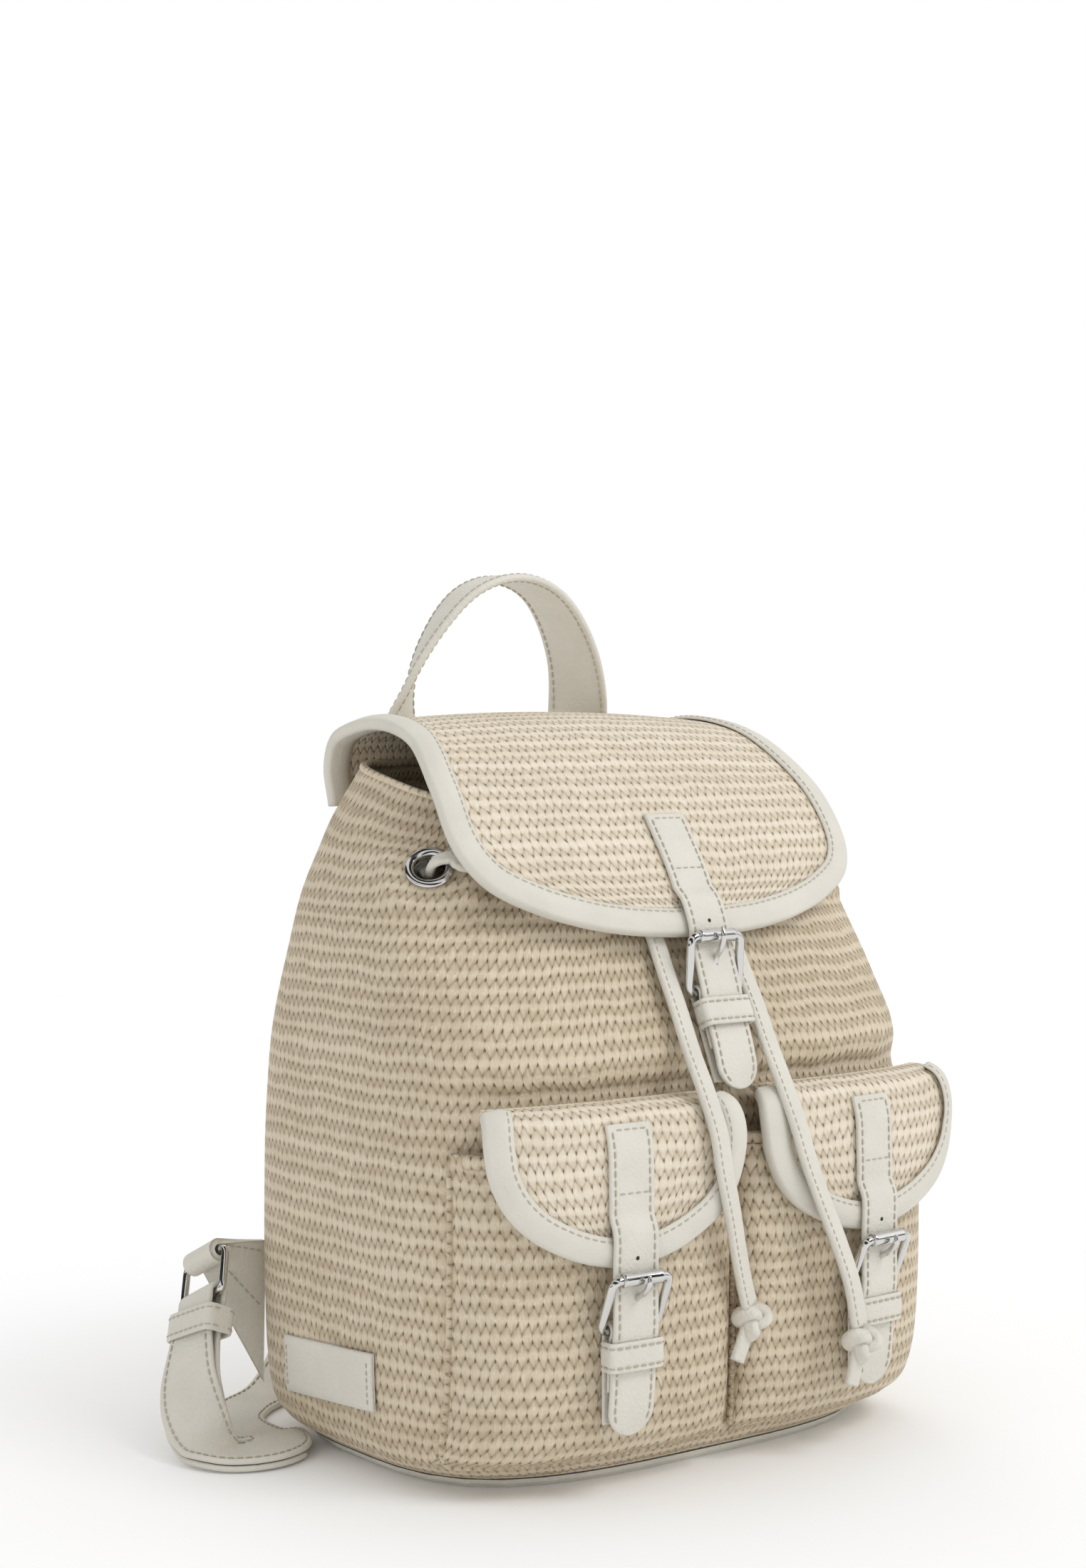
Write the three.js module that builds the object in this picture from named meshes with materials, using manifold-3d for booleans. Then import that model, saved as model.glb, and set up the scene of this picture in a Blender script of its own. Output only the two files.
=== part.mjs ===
// Woven straw backpack: a gathered bag with a flap, two buckled front pockets, a drawstring, a carrying
// loop and two shoulder straps. Millimetres, +Z up, +X to the right of someone who faces the front, the
// front towards -Y, and the origin on the floor under the middle of the bag.
import * as THREE from 'three';
import { mergeVertices } from 'three/addons/utils/BufferGeometryUtils.js';
import Module from 'manifold-3d';

const wasm = await Module();
wasm.setup();

// Driving dimensions of the bag.
const gap = 0.35; // between two pieces that touch
const strawWall = 2;
const bagHalfWidth = 118;
const bagFrontDepth = 86;
const bagBackDepth = 75;
const bagHeight = 256; // floor to the top of the back
const neckFrontDip = 17; // how much lower the neck's hem is at the front
const seamAngle = 30; // of the seam between the side and the back, from straight sideways
const baseThickness = 4;

// Gathered neck and its eyelets.
const gatherDepth = 5.5;
const eyeletHeight = bagHeight - 34;
const eyeletOuterRadius = 9.2;
const eyeletHoleRadius = 5.6;
const eyeletClearance = 0.3;
const eyeletFlange = 1.2;
const eyeletStandOff = 0.8; // the flange bridges the curve of the cloth
const eyeletAngles = { back: 139, side: 199, front: 222, centre: 252 };
const cordWidth = 8;
const cordThickness = 2.6;
const cordPinched = 4.6; // width of the cord where it goes through an eyelet

// Main flap.
const flapHalfWidth = 93;
const flapReach = 70; // from the bag's middle forward to the flap's tip
const flapTop = bagHeight + 19;
const flapThickness = 2;
const flapSag = 5;
const bindingLeg = 1.2;
const bindingWidth = 9;

// Pockets on the front.
const pocketInnerX = 3;
const pocketOuterX = 109;
const pocketBottom = 12;
const pocketTop = 122;
const pocketDepth = 12;
const pocketCentreX = 58;
const pocketFlapHalf = 51;
const pocketFlapTop = 137;
const pocketFlapTip = 84;

// Straps with roller buckles.
const strapWidth = 19;
const strapThickness = 1.8;
const chapeThickness = 1.4;
const buckleWire = 3.2;
const rollerRadius = 2.5;
const rollerHalf = 8.4;
const buckleWidth = 27;
const buckleHeight = 22;
const prongRadius = 1.1;
const keeperWidth = 10.5;
const keeperWall = 1.3;

// Handle, shoulder straps and side rings.
const handleWidth = 25;
const handleThickness = 3;
const handleTop = bagHeight + 76;
const shoulderWidth = 24;
const shoulderThickness = 2.2;
const ringWire = 3;
const ringLength = 32;
const ringHeight = 20;
const gussetThickness = 2.4;
const labelLength = 60;
const labelHeight = 21;
const labelThickness = 1.4;

const colours = {
  straw: 0xd9cbab,
  leather: 0xdedacd,
  metal: 0xc9c9cb,
};
const materials = {
  straw: new THREE.MeshStandardMaterial({ color: colours.straw, roughness: 0.85, metalness: 0 }),
  leather: new THREE.MeshStandardMaterial({ color: colours.leather, roughness: 0.55, metalness: 0 }),
  metal: new THREE.MeshStandardMaterial({ color: colours.metal, roughness: 0.15, metalness: 1 }),
};

const vec = (x, y, z) => new THREE.Vector3(x, y, z);
const radians = THREE.MathUtils.degToRad;
const smooth = THREE.MathUtils.smoothstep;

// Evenly spaced values from low to high, both included.
function spread(low, high, count) {
  return Array.from({ length: count }, (_, i) => low + ((high - low) * i) / (count - 1));
}

// Value of one column of a table at a place between its rows, on a smooth curve through the rows.
function column(rows, key, at) {
  const last = rows.length - 1;
  let i = 0;
  while (i < last - 1 && at > rows[i + 1].at) i += 1;
  const [a, b] = [rows[i], rows[i + 1]];
  const before = rows[Math.max(i - 1, 0)];
  const after = rows[Math.min(i + 2, last)];
  const span = b.at - a.at;
  const t = THREE.MathUtils.clamp((at - a.at) / span, 0, 1);
  const slopeA = ((b[key] - before[key]) / (b.at - before.at)) * span;
  const slopeB = ((after[key] - a[key]) / (after.at - a.at)) * span;
  const t2 = t * t;
  const t3 = t2 * t;
  return (2 * t3 - 3 * t2 + 1) * a[key] + (t3 - 2 * t2 + t) * slopeA
    + (-2 * t3 + 3 * t2) * b[key] + (t3 - t2) * slopeB;
}

// One closed geometry from points and triangles, turned outwards when its volume comes out negative.
function closedGeometry(points, triangles) {
  let volume = 0;
  for (const [a, b, c] of triangles) {
    volume += points[a].dot(points[b].clone().cross(points[c]));
  }
  const index = triangles.flatMap(([a, b, c]) => (volume < 0 ? [a, c, b] : [a, b, c]));
  const geometry = new THREE.BufferGeometry();
  geometry.setAttribute('position', new THREE.Float32BufferAttribute(points.flatMap((p) => [p.x, p.y, p.z]), 3));
  geometry.setIndex(index);
  geometry.computeVertexNormals();
  return geometry;
}

// A sheet laid along surface(u, v), from low to high away from it. du x dv points out when outward is 1.
function sheet(surface, us, vs, [high, low], outward = 1) {
  const step = 1e-3;
  const normalAt = (u, v) => {
    const du = surface(u + step, v).sub(surface(u - step, v));
    const dv = surface(u, v + step).sub(surface(u, v - step));
    return du.cross(dv).normalize().multiplyScalar(outward);
  };
  const lifted = (offset) => (u, v) => surface(u, v).addScaledVector(normalAt(u, v), offset);
  return between(lifted(high), lifted(low), us, vs);
}

// The closed body between two surfaces over the same grid.
function between(outer, inner, us, vs) {
  const place = (side, i, j) => (side * us.length + i) * vs.length + j;
  const points = [outer, inner].flatMap((surface) => us.flatMap((u) => vs.map((v) => surface(u, v))));
  const triangles = [];
  const quad = (a, b, c, d) => triangles.push([a, b, c], [a, c, d]);
  const endU = us.length - 1;
  const endV = vs.length - 1;
  for (let i = 0; i < endU; i += 1) {
    for (let j = 0; j < endV; j += 1) {
      quad(place(0, i, j), place(0, i + 1, j), place(0, i + 1, j + 1), place(0, i, j + 1));
      quad(place(1, i, j), place(1, i, j + 1), place(1, i + 1, j + 1), place(1, i + 1, j));
    }
    quad(place(0, i, 0), place(1, i, 0), place(1, i + 1, 0), place(0, i + 1, 0));
    quad(place(0, i, endV), place(0, i + 1, endV), place(1, i + 1, endV), place(1, i, endV));
  }
  for (let j = 0; j < endV; j += 1) {
    quad(place(0, 0, j), place(0, 0, j + 1), place(1, 0, j + 1), place(1, 0, j));
    quad(place(0, endU, j), place(1, endU, j), place(1, endU, j + 1), place(0, endU, j + 1));
  }
  return closedGeometry(points, triangles);
}

// A section carried through frames { at, across, out }: sectionAt(frame, share) gives [across, out] pairs,
// and closed joins the last frame to the first.
function sweep(frames, sectionAt, closed = false) {
  const last = frames.length - 1;
  const sections = frames.map((frame, i) => anticlockwise(sectionAt(frame, i / last)));
  const count = sections[0].length;
  const points = frames.flatMap(({ at, across, out }, i) => sections[i].map(
    ([a, b]) => at.clone().addScaledVector(across, a).addScaledVector(out, b),
  ));
  const triangles = [];
  for (let i = 0; i < (closed ? last + 1 : last); i += 1) {
    const here = i * count;
    const next = ((i + 1) % frames.length) * count;
    for (let j = 0; j < count; j += 1) {
      const k = (j + 1) % count;
      triangles.push([here + j, here + k, next + k], [here + j, next + k, next + j]);
    }
  }
  if (!closed) {
    const face = (section) => THREE.ShapeUtils.triangulateShape(section.map(([a, b]) => new THREE.Vector2(a, b)), []);
    const offset = last * count;
    for (const [a, b, c] of face(sections[0])) triangles.push([a, c, b]);
    for (const [a, b, c] of face(sections[last])) triangles.push([offset + a, offset + b, offset + c]);
  }
  return closedGeometry(points, triangles);
}

function anticlockwise(section) {
  const area = section.reduce((sum, [a, b], i) => {
    const [c, d] = section[(i + 1) % section.length];
    return sum + a * d - c * b;
  }, 0);
  return area < 0 ? [...section].reverse() : section;
}

// Frames along a smooth path through points, with the width direction near to the one wanted there.
function framesAlong(points, widthAt, steps, closed = false) {
  const curve = new THREE.CatmullRomCurve3(points, closed, 'centripetal');
  const count = closed ? steps : steps + 1;
  return Array.from({ length: count }, (_, i) => {
    const t = i / steps;
    const at = curve.getPointAt(t);
    const tangent = curve.getTangentAt(t);
    const wanted = widthAt(at, t);
    const across = wanted.clone().addScaledVector(tangent, -wanted.dot(tangent)).normalize();
    return { at, across, out: across.clone().cross(tangent).normalize() };
  });
}

const flat = (width, thickness) => [
  [-width / 2, -thickness / 2],
  [width / 2, -thickness / 2],
  [width / 2, thickness / 2],
  [-width / 2, thickness / 2],
];

const round = (radius, sides) => spread(0, 2 * Math.PI, sides + 1).slice(0, sides).map(
  (a) => [radius * Math.cos(a), radius * Math.sin(a)],
);

function toSolid(geometry) {
  const bare = geometry.clone();
  bare.deleteAttribute('normal');
  bare.deleteAttribute('uv');
  const merged = mergeVertices(bare, 1e-4);
  return new wasm.Manifold(new wasm.Mesh({
    numProp: 3,
    vertProperties: new Float32Array(merged.attributes.position.array),
    triVerts: new Uint32Array(merged.index.array),
  }));
}

function fromSolid(solid) {
  const mesh = solid.getMesh();
  const geometry = new THREE.BufferGeometry();
  geometry.setAttribute('position', new THREE.Float32BufferAttribute(mesh.vertProperties, 3));
  geometry.setIndex(new THREE.BufferAttribute(mesh.triVerts, 1));
  geometry.computeVertexNormals();
  return geometry;
}

const bag = new THREE.Group();
function add(name, geometry, material, parent = bag) {
  const mesh = new THREE.Mesh(geometry, material);
  mesh.name = name;
  parent.add(mesh);
  return mesh;
}

// The bag's sections from the floor up. at is a share of the height, wide of the half width, front and
// back of the depths, and square is how square the corners are.
const bodyRows = [
  { at: 0.0165, wide: 0.9, front: 0.89, back: 0.86, square: 3.4 },
  { at: 0.035, wide: 0.955, front: 0.955, back: 0.93, square: 3.8 },
  { at: 0.07, wide: 0.985, front: 0.99, back: 0.98, square: 4.2 },
  { at: 0.2, wide: 1, front: 1, back: 1, square: 4.4 },
  { at: 0.42, wide: 1.005, front: 1, back: 0.99, square: 4.4 },
  { at: 0.52, wide: 1, front: 0.985, back: 0.97, square: 4.4 },
  { at: 0.6, wide: 0.995, front: 0.97, back: 0.94, square: 4.3 },
  { at: 0.67, wide: 0.985, front: 0.86, back: 0.9, square: 4 },
  { at: 0.735, wide: 0.975, front: 0.765, back: 0.86, square: 3.5 },
  { at: 0.8, wide: 0.945, front: 0.675, back: 0.82, square: 3.1 },
  { at: 0.87, wide: 0.875, front: 0.575, back: 0.775, square: 3 },
  { at: 0.925, wide: 0.82, front: 0.48, back: 0.745, square: 3 },
  { at: 1, wide: 0.715, front: 0.4, back: 0.7, square: 3 },
];

// Folds of the neck between neighbouring eyelets, from the back seam round to the front, and how far each
// stands out, as a share of the gather's depth.
const gathers = [
  { from: eyeletAngles.back, to: eyeletAngles.side, out: 0.8 },
  { from: eyeletAngles.side, to: eyeletAngles.front, out: -1 },
  { from: eyeletAngles.front, to: eyeletAngles.centre, out: 0.8 },
  { from: eyeletAngles.centre, to: 360 + 180 - eyeletAngles.centre, out: -0.7 },
];

const creaseAt = 0.545; // the line where the pocket flaps are sewn on, as a share of the height
const creaseSpread = 0.022;
const creaseDepth = 4;

// The bag's cloth before it is pressed flat round the eyelets: phi turns from +X over the back (+Y) to -X
// and on to the front, share goes up.
function clothPoint(phi, share) {
  const c = Math.cos(radians(phi));
  const s = Math.sin(radians(phi));
  const wide = bagHalfWidth * column(bodyRows, 'wide', share);
  const deep = s < 0
    ? bagFrontDepth * column(bodyRows, 'front', share)
    : bagBackDepth * column(bodyRows, 'back', share);
  const square = column(bodyRows, 'square', share);
  let radius = ((Math.abs(c) / wide) ** square + (Math.abs(s) / deep) ** square) ** (-1 / square);
  const mirrored = phi > 270 ? 540 - phi : phi;
  const fold = gathers.find(({ from, to }) => mirrored >= from && mirrored <= to);
  if (fold) {
    const along = (mirrored - fold.from) / (fold.to - fold.from);
    radius += gatherDepth * fold.out * Math.sin(Math.PI * along) ** 2 * smooth(share, 0.7, 0.88);
  }
  const facing = smooth(-s, 0.35, 0.75);
  radius -= creaseDepth * facing * Math.exp(-(((share - creaseAt) / creaseSpread) ** 2));
  const dip = neckFrontDip * smooth(share, 0.8, 1) * smooth(-s, -0.5, 0.6);
  return vec(radius * c, radius * s, bagHeight * share - dip);
}

// Outward normal of a surface of the bag at phi and share.
function outwardAt(surface, phi, share) {
  const along = surface(phi + 0.05, share).sub(surface(phi - 0.05, share));
  const up = surface(phi, share + 0.002).sub(surface(phi, share - 0.002));
  return along.cross(up).normalize();
}

function eyeletPlaces() {
  const share = eyeletHeight / bagHeight;
  const left = Object.entries(eyeletAngles).map(([name, phi]) => ({ name: `eyelet_left_${name}`, phi }));
  const right = left.map(({ name, phi }) => ({ name: name.replace('left', 'right'), phi: 540 - phi })).reverse();
  return [...left, ...right].map(({ name, phi }) => ({
    name,
    seat: clothPoint(phi, share),
    out: outwardAt(clothPoint, phi, share),
  }));
}
const eyelets = eyeletPlaces();

// Outer face of the bag, flat round each eyelet and back to the cloth's own shape further out.
function bodyPoint(phi, share) {
  const point = clothPoint(phi, share);
  for (const { seat, out } of eyelets) {
    const from = point.clone().sub(seat);
    const lift = from.dot(out);
    const away = from.addScaledVector(out, -lift).length();
    const pressed = 1 - smooth(away, eyeletOuterRadius + 7.5, eyeletOuterRadius + 13);
    if (Math.abs(lift) < 2 * eyeletOuterRadius) point.addScaledVector(out, -lift * pressed);
  }
  return point;
}

// The front of the bag without its crease, used by what is sewn to it: y at a place across and a height.
function frontAt(x, z) {
  const share = z / bagHeight;
  const wide = bagHalfWidth * column(bodyRows, 'wide', share);
  const deep = bagFrontDepth * column(bodyRows, 'front', share);
  const square = column(bodyRows, 'square', share);
  return -deep * Math.max(0, 1 - (Math.abs(x) / wide) ** square) ** (1 / square);
}

// What an eyelet takes out of the cloth: its hole, and room for its two flanges.
function eyeletRoom(place) {
  const hole = eyeletHoleRadius + bindingLeg + eyeletClearance;
  const flange = eyeletOuterRadius + gap;
  const inside = -strawWall - eyeletStandOff;
  const profile = [[0, -12], [flange, -12], [flange, inside], [hole, inside], [hole, eyeletStandOff],
    [flange, eyeletStandOff], [flange, 12], [0, 12]].map(([r, h]) => new THREE.Vector2(r, h));
  const room = new THREE.LatheGeometry(profile, 10);
  room.applyQuaternion(new THREE.Quaternion().setFromUnitVectors(vec(0, 1, 0), place.out));
  room.translate(place.seat.x, place.seat.y, place.seat.z);
  return toSolid(room);
}

const bodyShares = [0.0165, 0.04, 0.1, 0.25, 0.42, 0.515, 0.545, 0.575, 0.63, 0.69, 0.75, 0.82, 0.867, 0.914, 1];
const wrapAngles = [160, 170, 180, 192, 199, 206, 210.5, 214, 222, 230, 236.5, 242, 252, 262]; // left half
const seamClearance = 0.2; // in degrees on each side of the seam

function buildBody() {
  const leftHalf = [180 - seamAngle + seamClearance, ...wrapAngles];
  const angles = [...leftHalf, 270, ...leftHalf.map((phi) => 540 - phi).reverse()];
  let wrap = toSolid(sheet(bodyPoint, angles, bodyShares, [0, -strawWall]));
  const backShares = [0.0165, 0.06, 0.2, 0.43, 0.6, 0.71, 0.82, 0.867, 0.914, 1];
  const backAngles = spread(seamAngle + seamClearance, 180 - seamAngle - seamClearance, 12);
  let back = toSolid(sheet(bodyPoint, backAngles, backShares, [0, -strawWall]));
  for (const place of eyelets) {
    const hole = eyeletRoom(place);
    if (place.name.endsWith('back')) back = back.subtract(hole);
    else wrap = wrap.subtract(hole);
  }
  add('body_wrap', fromSolid(wrap), materials.straw);
  add('back_panel', fromSolid(back), materials.straw);
}

function buildBase() {
  const share = bodyShares[0];
  const outline = spread(0, 360, 49).slice(0, 48).map((phi) => bodyPoint(phi, share));
  const rings = [
    { scale: 0.965, z: 0 },
    { scale: 0.99, z: baseThickness / 2 },
    { scale: 1, z: baseThickness - gap },
  ];
  const points = rings.flatMap(({ scale, z }) => outline.map((p) => vec(p.x * scale, p.y * scale, z)));
  const count = outline.length;
  const triangles = [];
  for (let r = 0; r < rings.length - 1; r += 1) {
    for (let i = 0; i < count; i += 1) {
      const k = (i + 1) % count;
      triangles.push([r * count + i, r * count + k, (r + 1) * count + k]);
      triangles.push([r * count + i, (r + 1) * count + k, (r + 1) * count + i]);
    }
  }
  const top = (rings.length - 1) * count;
  for (let i = 1; i < count - 1; i += 1) triangles.push([0, i + 1, i], [top, top + i, top + i + 1]);
  add('base_panel', closedGeometry(points, triangles), materials.leather);
}

// An eyelet is a turned ring with a flange on each face of the cloth.
function buildEyelets() {
  const inner = eyeletHoleRadius;
  const neck = eyeletHoleRadius + bindingLeg;
  const reach = eyeletOuterRadius;
  const outside = eyeletStandOff + gap;
  const inside = -strawWall - eyeletStandOff - gap;
  const profile = [
    [inner, inside - eyeletFlange],
    [reach, inside - eyeletFlange],
    [reach, inside],
    [neck, inside],
    [neck, outside],
    [reach, outside],
    [(reach + neck) / 2, outside + eyeletFlange],
    [inner, outside + eyeletFlange / 2],
    [inner, inside - eyeletFlange],
  ].map(([r, h]) => new THREE.Vector2(r, h));
  for (const place of eyelets) {
    const ring = new THREE.LatheGeometry(profile, 10);
    const mesh = add(place.name, ring, materials.metal);
    mesh.quaternion.setFromUnitVectors(vec(0, 1, 0), place.out);
    mesh.position.copy(place.seat);
  }
}


// The drawstring runs through the eyelets, by turns inside and outside the cloth, round the back.
const cordOut = eyeletStandOff + gap + eyeletFlange + 2.9 * gap + cordThickness / 2;
const cordIn = cordOut + strawWall;
const cordLoose = 1.9; // between the cord and the folds that it passes over
// How the cord turns out of an eyelet: sideways, and up as a share of the way to its level.
const turns = [
  { reach: 1, rise: 0.6 },
  { reach: 3.8, rise: 1.03 },
  { reach: 9.2, rise: 1 },
];

function drawstringPoints() {
  const order = [3, 2, 1, 0, 7, 6, 5, 4].map((i) => eyelets[i]);
  const points = [order[0].seat.clone().addScaledVector(order[0].out, cordOut)];
  for (let i = 0; i < order.length - 1; i += 1) {
    const [a, b] = [order[i], order[i + 1]];
    const outside = i % 2 === 1;
    const lift = outside ? cordOut : -cordIn;
    const way = b.seat.clone().sub(a.seat).normalize();
    const turned = ({ seat, out }, sign, { reach, rise }) => seat.clone()
      .addScaledVector(way.clone().addScaledVector(out, -way.dot(out)).normalize(), sign * reach)
      .addScaledVector(out, lift * rise);
    points.push(a.seat.clone().addScaledVector(a.out, -strawWall / 2));
    points.push(...turns.map((turn) => turned(a, 1, turn)));
    const steps = Math.max(3, Math.round(a.seat.distanceTo(b.seat) / 14));
    for (const t of spread(0.3 * 3 / steps, 1 - 0.3 * 3 / steps, steps)) {
      const chord = a.seat.clone().lerp(b.seat, t).addScaledVector(a.out.clone().lerp(b.out, t).normalize(), lift);
      const cloth = [-0.5, 0, 0.5].map((up) => bodyPoint(angleOf(chord), (eyeletHeight + up * cordWidth) / bagHeight));
      const clear = Math.max(...cloth.map(({ x, y }) => Math.hypot(x, y))) + cordThickness / 2 + cordLoose;
      const reach = Math.hypot(chord.x, chord.y);
      if (outside && reach < clear) chord.multiply(vec(clear / reach, clear / reach, 1));
      points.push(chord);
    }
    points.push(...turns.map((turn) => turned(b, -1, turn)).reverse());
  }
  const end = order[order.length - 1];
  points.push(end.seat.clone().addScaledVector(end.out, -strawWall / 2));
  points.push(end.seat.clone().addScaledVector(end.out, cordOut));
  return points;
}

function angleOf(point) {
  const angle = THREE.MathUtils.radToDeg(Math.atan2(point.y, point.x));
  return angle < 0 ? angle + 360 : angle;
}

function buildDrawstring() {
  const level = eyeletHeight / bagHeight;
  const frames = framesAlong(drawstringPoints(), (at) => {
    const phi = angleOf(at);
    return clothPoint(phi, level + 0.03).sub(clothPoint(phi, level - 0.03));
  }, 110);
  const widthNear = (at) => {
    const near = Math.min(...eyelets.map(({ seat }) => seat.distanceTo(at)));
    return cordPinched + (cordWidth - cordPinched) * smooth(near, 6, 14);
  };
  add('drawstring_neck', sweep(frames, ({ at }) => flat(widthNear(at), cordThickness)), materials.leather);
}

// Free ends of the drawstring: they leave the two eyelets in the middle of the front, hang down over the
// bag and the pocket flaps and end in a knot. Points are chosen one by one, from the eyelet down.
const tails = {
  left: [
    [-17.5, -62.4, 203], [-18, -67.4, 194], [-18.3, -75, 180], [-19, -83, 167], [-20.5, -92, 153], [-21.5, -101, 140],
    [-21, -107.5, 126], [-19, -108.5, 112], [-15, -108, 97], [-9.5, -105, 82], [-4, -102, 69], [-0.5, -100.5, 61],
  ],
  right: [
    [17.5, -62.4, 203], [18, -67.4, 194], [18.3, -75, 180], [18.3, -83, 167], [17, -92, 153], [15.5, -101.5, 140],
    [16.5, -108, 126], [21, -109.5, 111], [27, -110, 97], [33.5, -111, 82], [39.5, -112, 66], [43, -112.5, 49.5],
  ],
};
const knotSize = { across: 15, deep: 9, tall: 13 };
const tailEnd = { length: 12, width: 6.5 };

function buildTails() {
  for (const [side, route] of Object.entries(tails)) {
    const points = route.map(([x, y, z]) => vec(x, y, z));
    const path = new THREE.CatmullRomCurve3(points, false, 'centripetal');
    const section = new THREE.Shape(round(0.5, 8).map(
      ([a, b]) => new THREE.Vector2(a * cordWidth, b * cordThickness),
    ));
    add(`drawstring_tail_${side}`, new THREE.ExtrudeGeometry(section, { steps: 19, extrudePath: path }), materials.leather);
    const end = path.getPointAt(1);
    const down = path.getTangentAt(1);
    const ball = new THREE.SphereGeometry(0.5, 10, 8);
    ball.scale(knotSize.across, knotSize.deep, knotSize.tall);
    const drop = new THREE.BoxGeometry(tailEnd.width, cordThickness, tailEnd.length);
    drop.rotateY(side === 'left' ? 0.45 : 0.3);
    drop.translate(side === 'left' ? -4 : -3, 0, -tailEnd.length * 0.8);
    const knot = fromSolid(toSolid(ball).add(toSolid(drop)));
    const centre = end.clone().addScaledVector(down, gap + knotSize.tall / 2);
    knot.translate(centre.x, centre.y, centre.z);
    add(`drawstring_knot_${side}`, knot, materials.leather);
  }
}

// Main flap, from the seam on the back over the top to the round tip at the front. reach and up are
// shares of the flap's reach and top, half of its half width, and bow sets its sides back.
const flapRows = [
  { at: 0, reach: -0.83, up: 0.869, half: 0.86, bow: -1 },
  { at: 0.09, reach: -0.815, up: 0.93, half: 0.885, bow: -0.7 },
  { at: 0.18, reach: -0.68, up: 0.98, half: 0.885, bow: 0 },
  { at: 0.3, reach: -0.29, up: 1, half: 0.875, bow: 0.6 },
  { at: 0.43, reach: 0.16, up: 0.977, half: 0.915, bow: 1 },
  { at: 0.56, reach: 0.56, up: 0.9, half: 0.985, bow: 1.4 },
  { at: 0.68, reach: 0.79, up: 0.827, half: 1, bow: 1.5 },
  { at: 0.78, reach: 0.92, up: 0.776, half: 0.92, bow: 1.5 },
  { at: 0.86, reach: 0.985, up: 0.743, half: 0.74, bow: 1.5 },
  { at: 0.92, reach: 1.02, up: 0.722, half: 0.53, bow: 1.5 },
  { at: 0.965, reach: 1.04, up: 0.711, half: 0.33, bow: 1.5 },
  { at: 1, reach: 1.05, up: 0.706, half: 0.13, bow: 1.5 },
];
const flapStations = [0, 0.08, 0.15, 0.22, 0.31, 0.42, 0.53, 0.63, 0.72, 0.79, 0.85, 0.9, 0.94, 0.972, 1];
const flapAcross = spread(-1, 1, 9);

function flapPoint(u, v) {
  const x = u * flapHalfWidth * column(flapRows, 'half', v);
  const side = (x / flapHalfWidth) ** 2;
  const back = flapSag * column(flapRows, 'bow', v) * side;
  const y = -flapReach * column(flapRows, 'reach', v) + back;
  const droop = flapSag * side * (1 - smooth(v, 0.35, 0.6)) * smooth(v, 0, 0.25);
  return vec(x, y, flapTop * column(flapRows, 'up', v) - droop);
}

// Frames round the free edge of a flap: across points into the flap and out is its outward normal.
function edgeFrames(surface, us, vs) {
  const step = 1e-3;
  const places = [
    ...vs.map((v) => [us[0], v]),
    ...us.slice(1, -1).map((u) => [u, vs[vs.length - 1]]),
    ...vs.map((v) => [us[us.length - 1], v]).reverse(),
  ];
  const points = places.map(([u, v]) => surface(u, v));
  return places.map(([u, v], i) => {
    const out = surface(u, v + step).sub(surface(u, v - step)).cross(surface(u + step, v).sub(surface(u - step, v)));
    out.normalize();
    const along = points[Math.min(i + 1, points.length - 1)].clone().sub(points[Math.max(i - 1, 0)]);
    return { at: points[i], across: out.clone().cross(along).normalize(), out };
  });
}

// Folded leather edging: a U round the edge of a sheet of the given thickness, its rims apart by the flare
// that a curved sheet needs.
function edging(frames, thickness, flare) {
  const slot = thickness / 2 + gap;
  const face = slot + bindingLeg;
  const fold = gap + bindingLeg;
  const section = [
    [bindingWidth, slot + flare],
    [-gap, slot],
    [-gap, -slot],
    [bindingWidth, -slot - flare],
    [bindingWidth, -face - flare],
    [-fold, -slot],
    [-fold, slot],
    [bindingWidth, face + flare],
  ];
  return sweep(frames, () => section);
}

function buildFlap() {
  const half = flapThickness / 2;
  add('flap', sheet(flapPoint, flapAcross, flapStations, [half, -half], -1), materials.straw);
  add('flap_edging', edging(edgeFrames(flapPoint, flapAcross, flapStations), flapThickness, gap / 2), materials.leather);
}


// Side of the bag that a piece belongs to: the left one is modelled and the right one is its mirror image.
const sides = [{ side: 'left', sign: 1 }, { side: 'right', sign: -1 }];

function mirrored(geometry, sign) {
  if (sign > 0) return geometry;
  const copy = geometry.clone().scale(-1, 1, 1);
  const index = Array.from(copy.index.array);
  for (let i = 0; i < index.length; i += 3) [index[i + 1], index[i + 2]] = [index[i + 2], index[i + 1]];
  copy.setIndex(index);
  copy.computeVertexNormals();
  return copy;
}

// Pocket: a pouch of one bent sheet, open at the top and closed by the bag's own front behind it.
const pocketColumns = [0, 0.012, 0.04, 0.1, 0.2, 0.35, 0.5, 0.65, 0.8, 0.92, 0.98, 1];
const pocketLines = [0, 0.02, 0.07, 0.18, 0.42, 0.7, 1];
const pocketSeat = 1.5; // the seam allowance between the bag and the pocket

// A face of the pocket, set in from its outer face on all its closed sides.
function pocketPoint(u, v, inset = 0) {
  const x = pocketOuterX - inset + (pocketInnerX - pocketOuterX + 2 * inset) * u;
  const z = pocketBottom + inset + (pocketTop - pocketBottom - inset) * v;
  const sideways = Math.max(0, 1 - Math.abs(2 * u - 1) ** 6) ** (1 / 3);
  const upwards = Math.max(0, 1 - Math.max(0, 1 - v) ** 6) ** (1 / 2);
  return vec(-x, frontAt(x, z) - pocketSeat - (pocketDepth - inset) * sideways * upwards, z);
}

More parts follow.
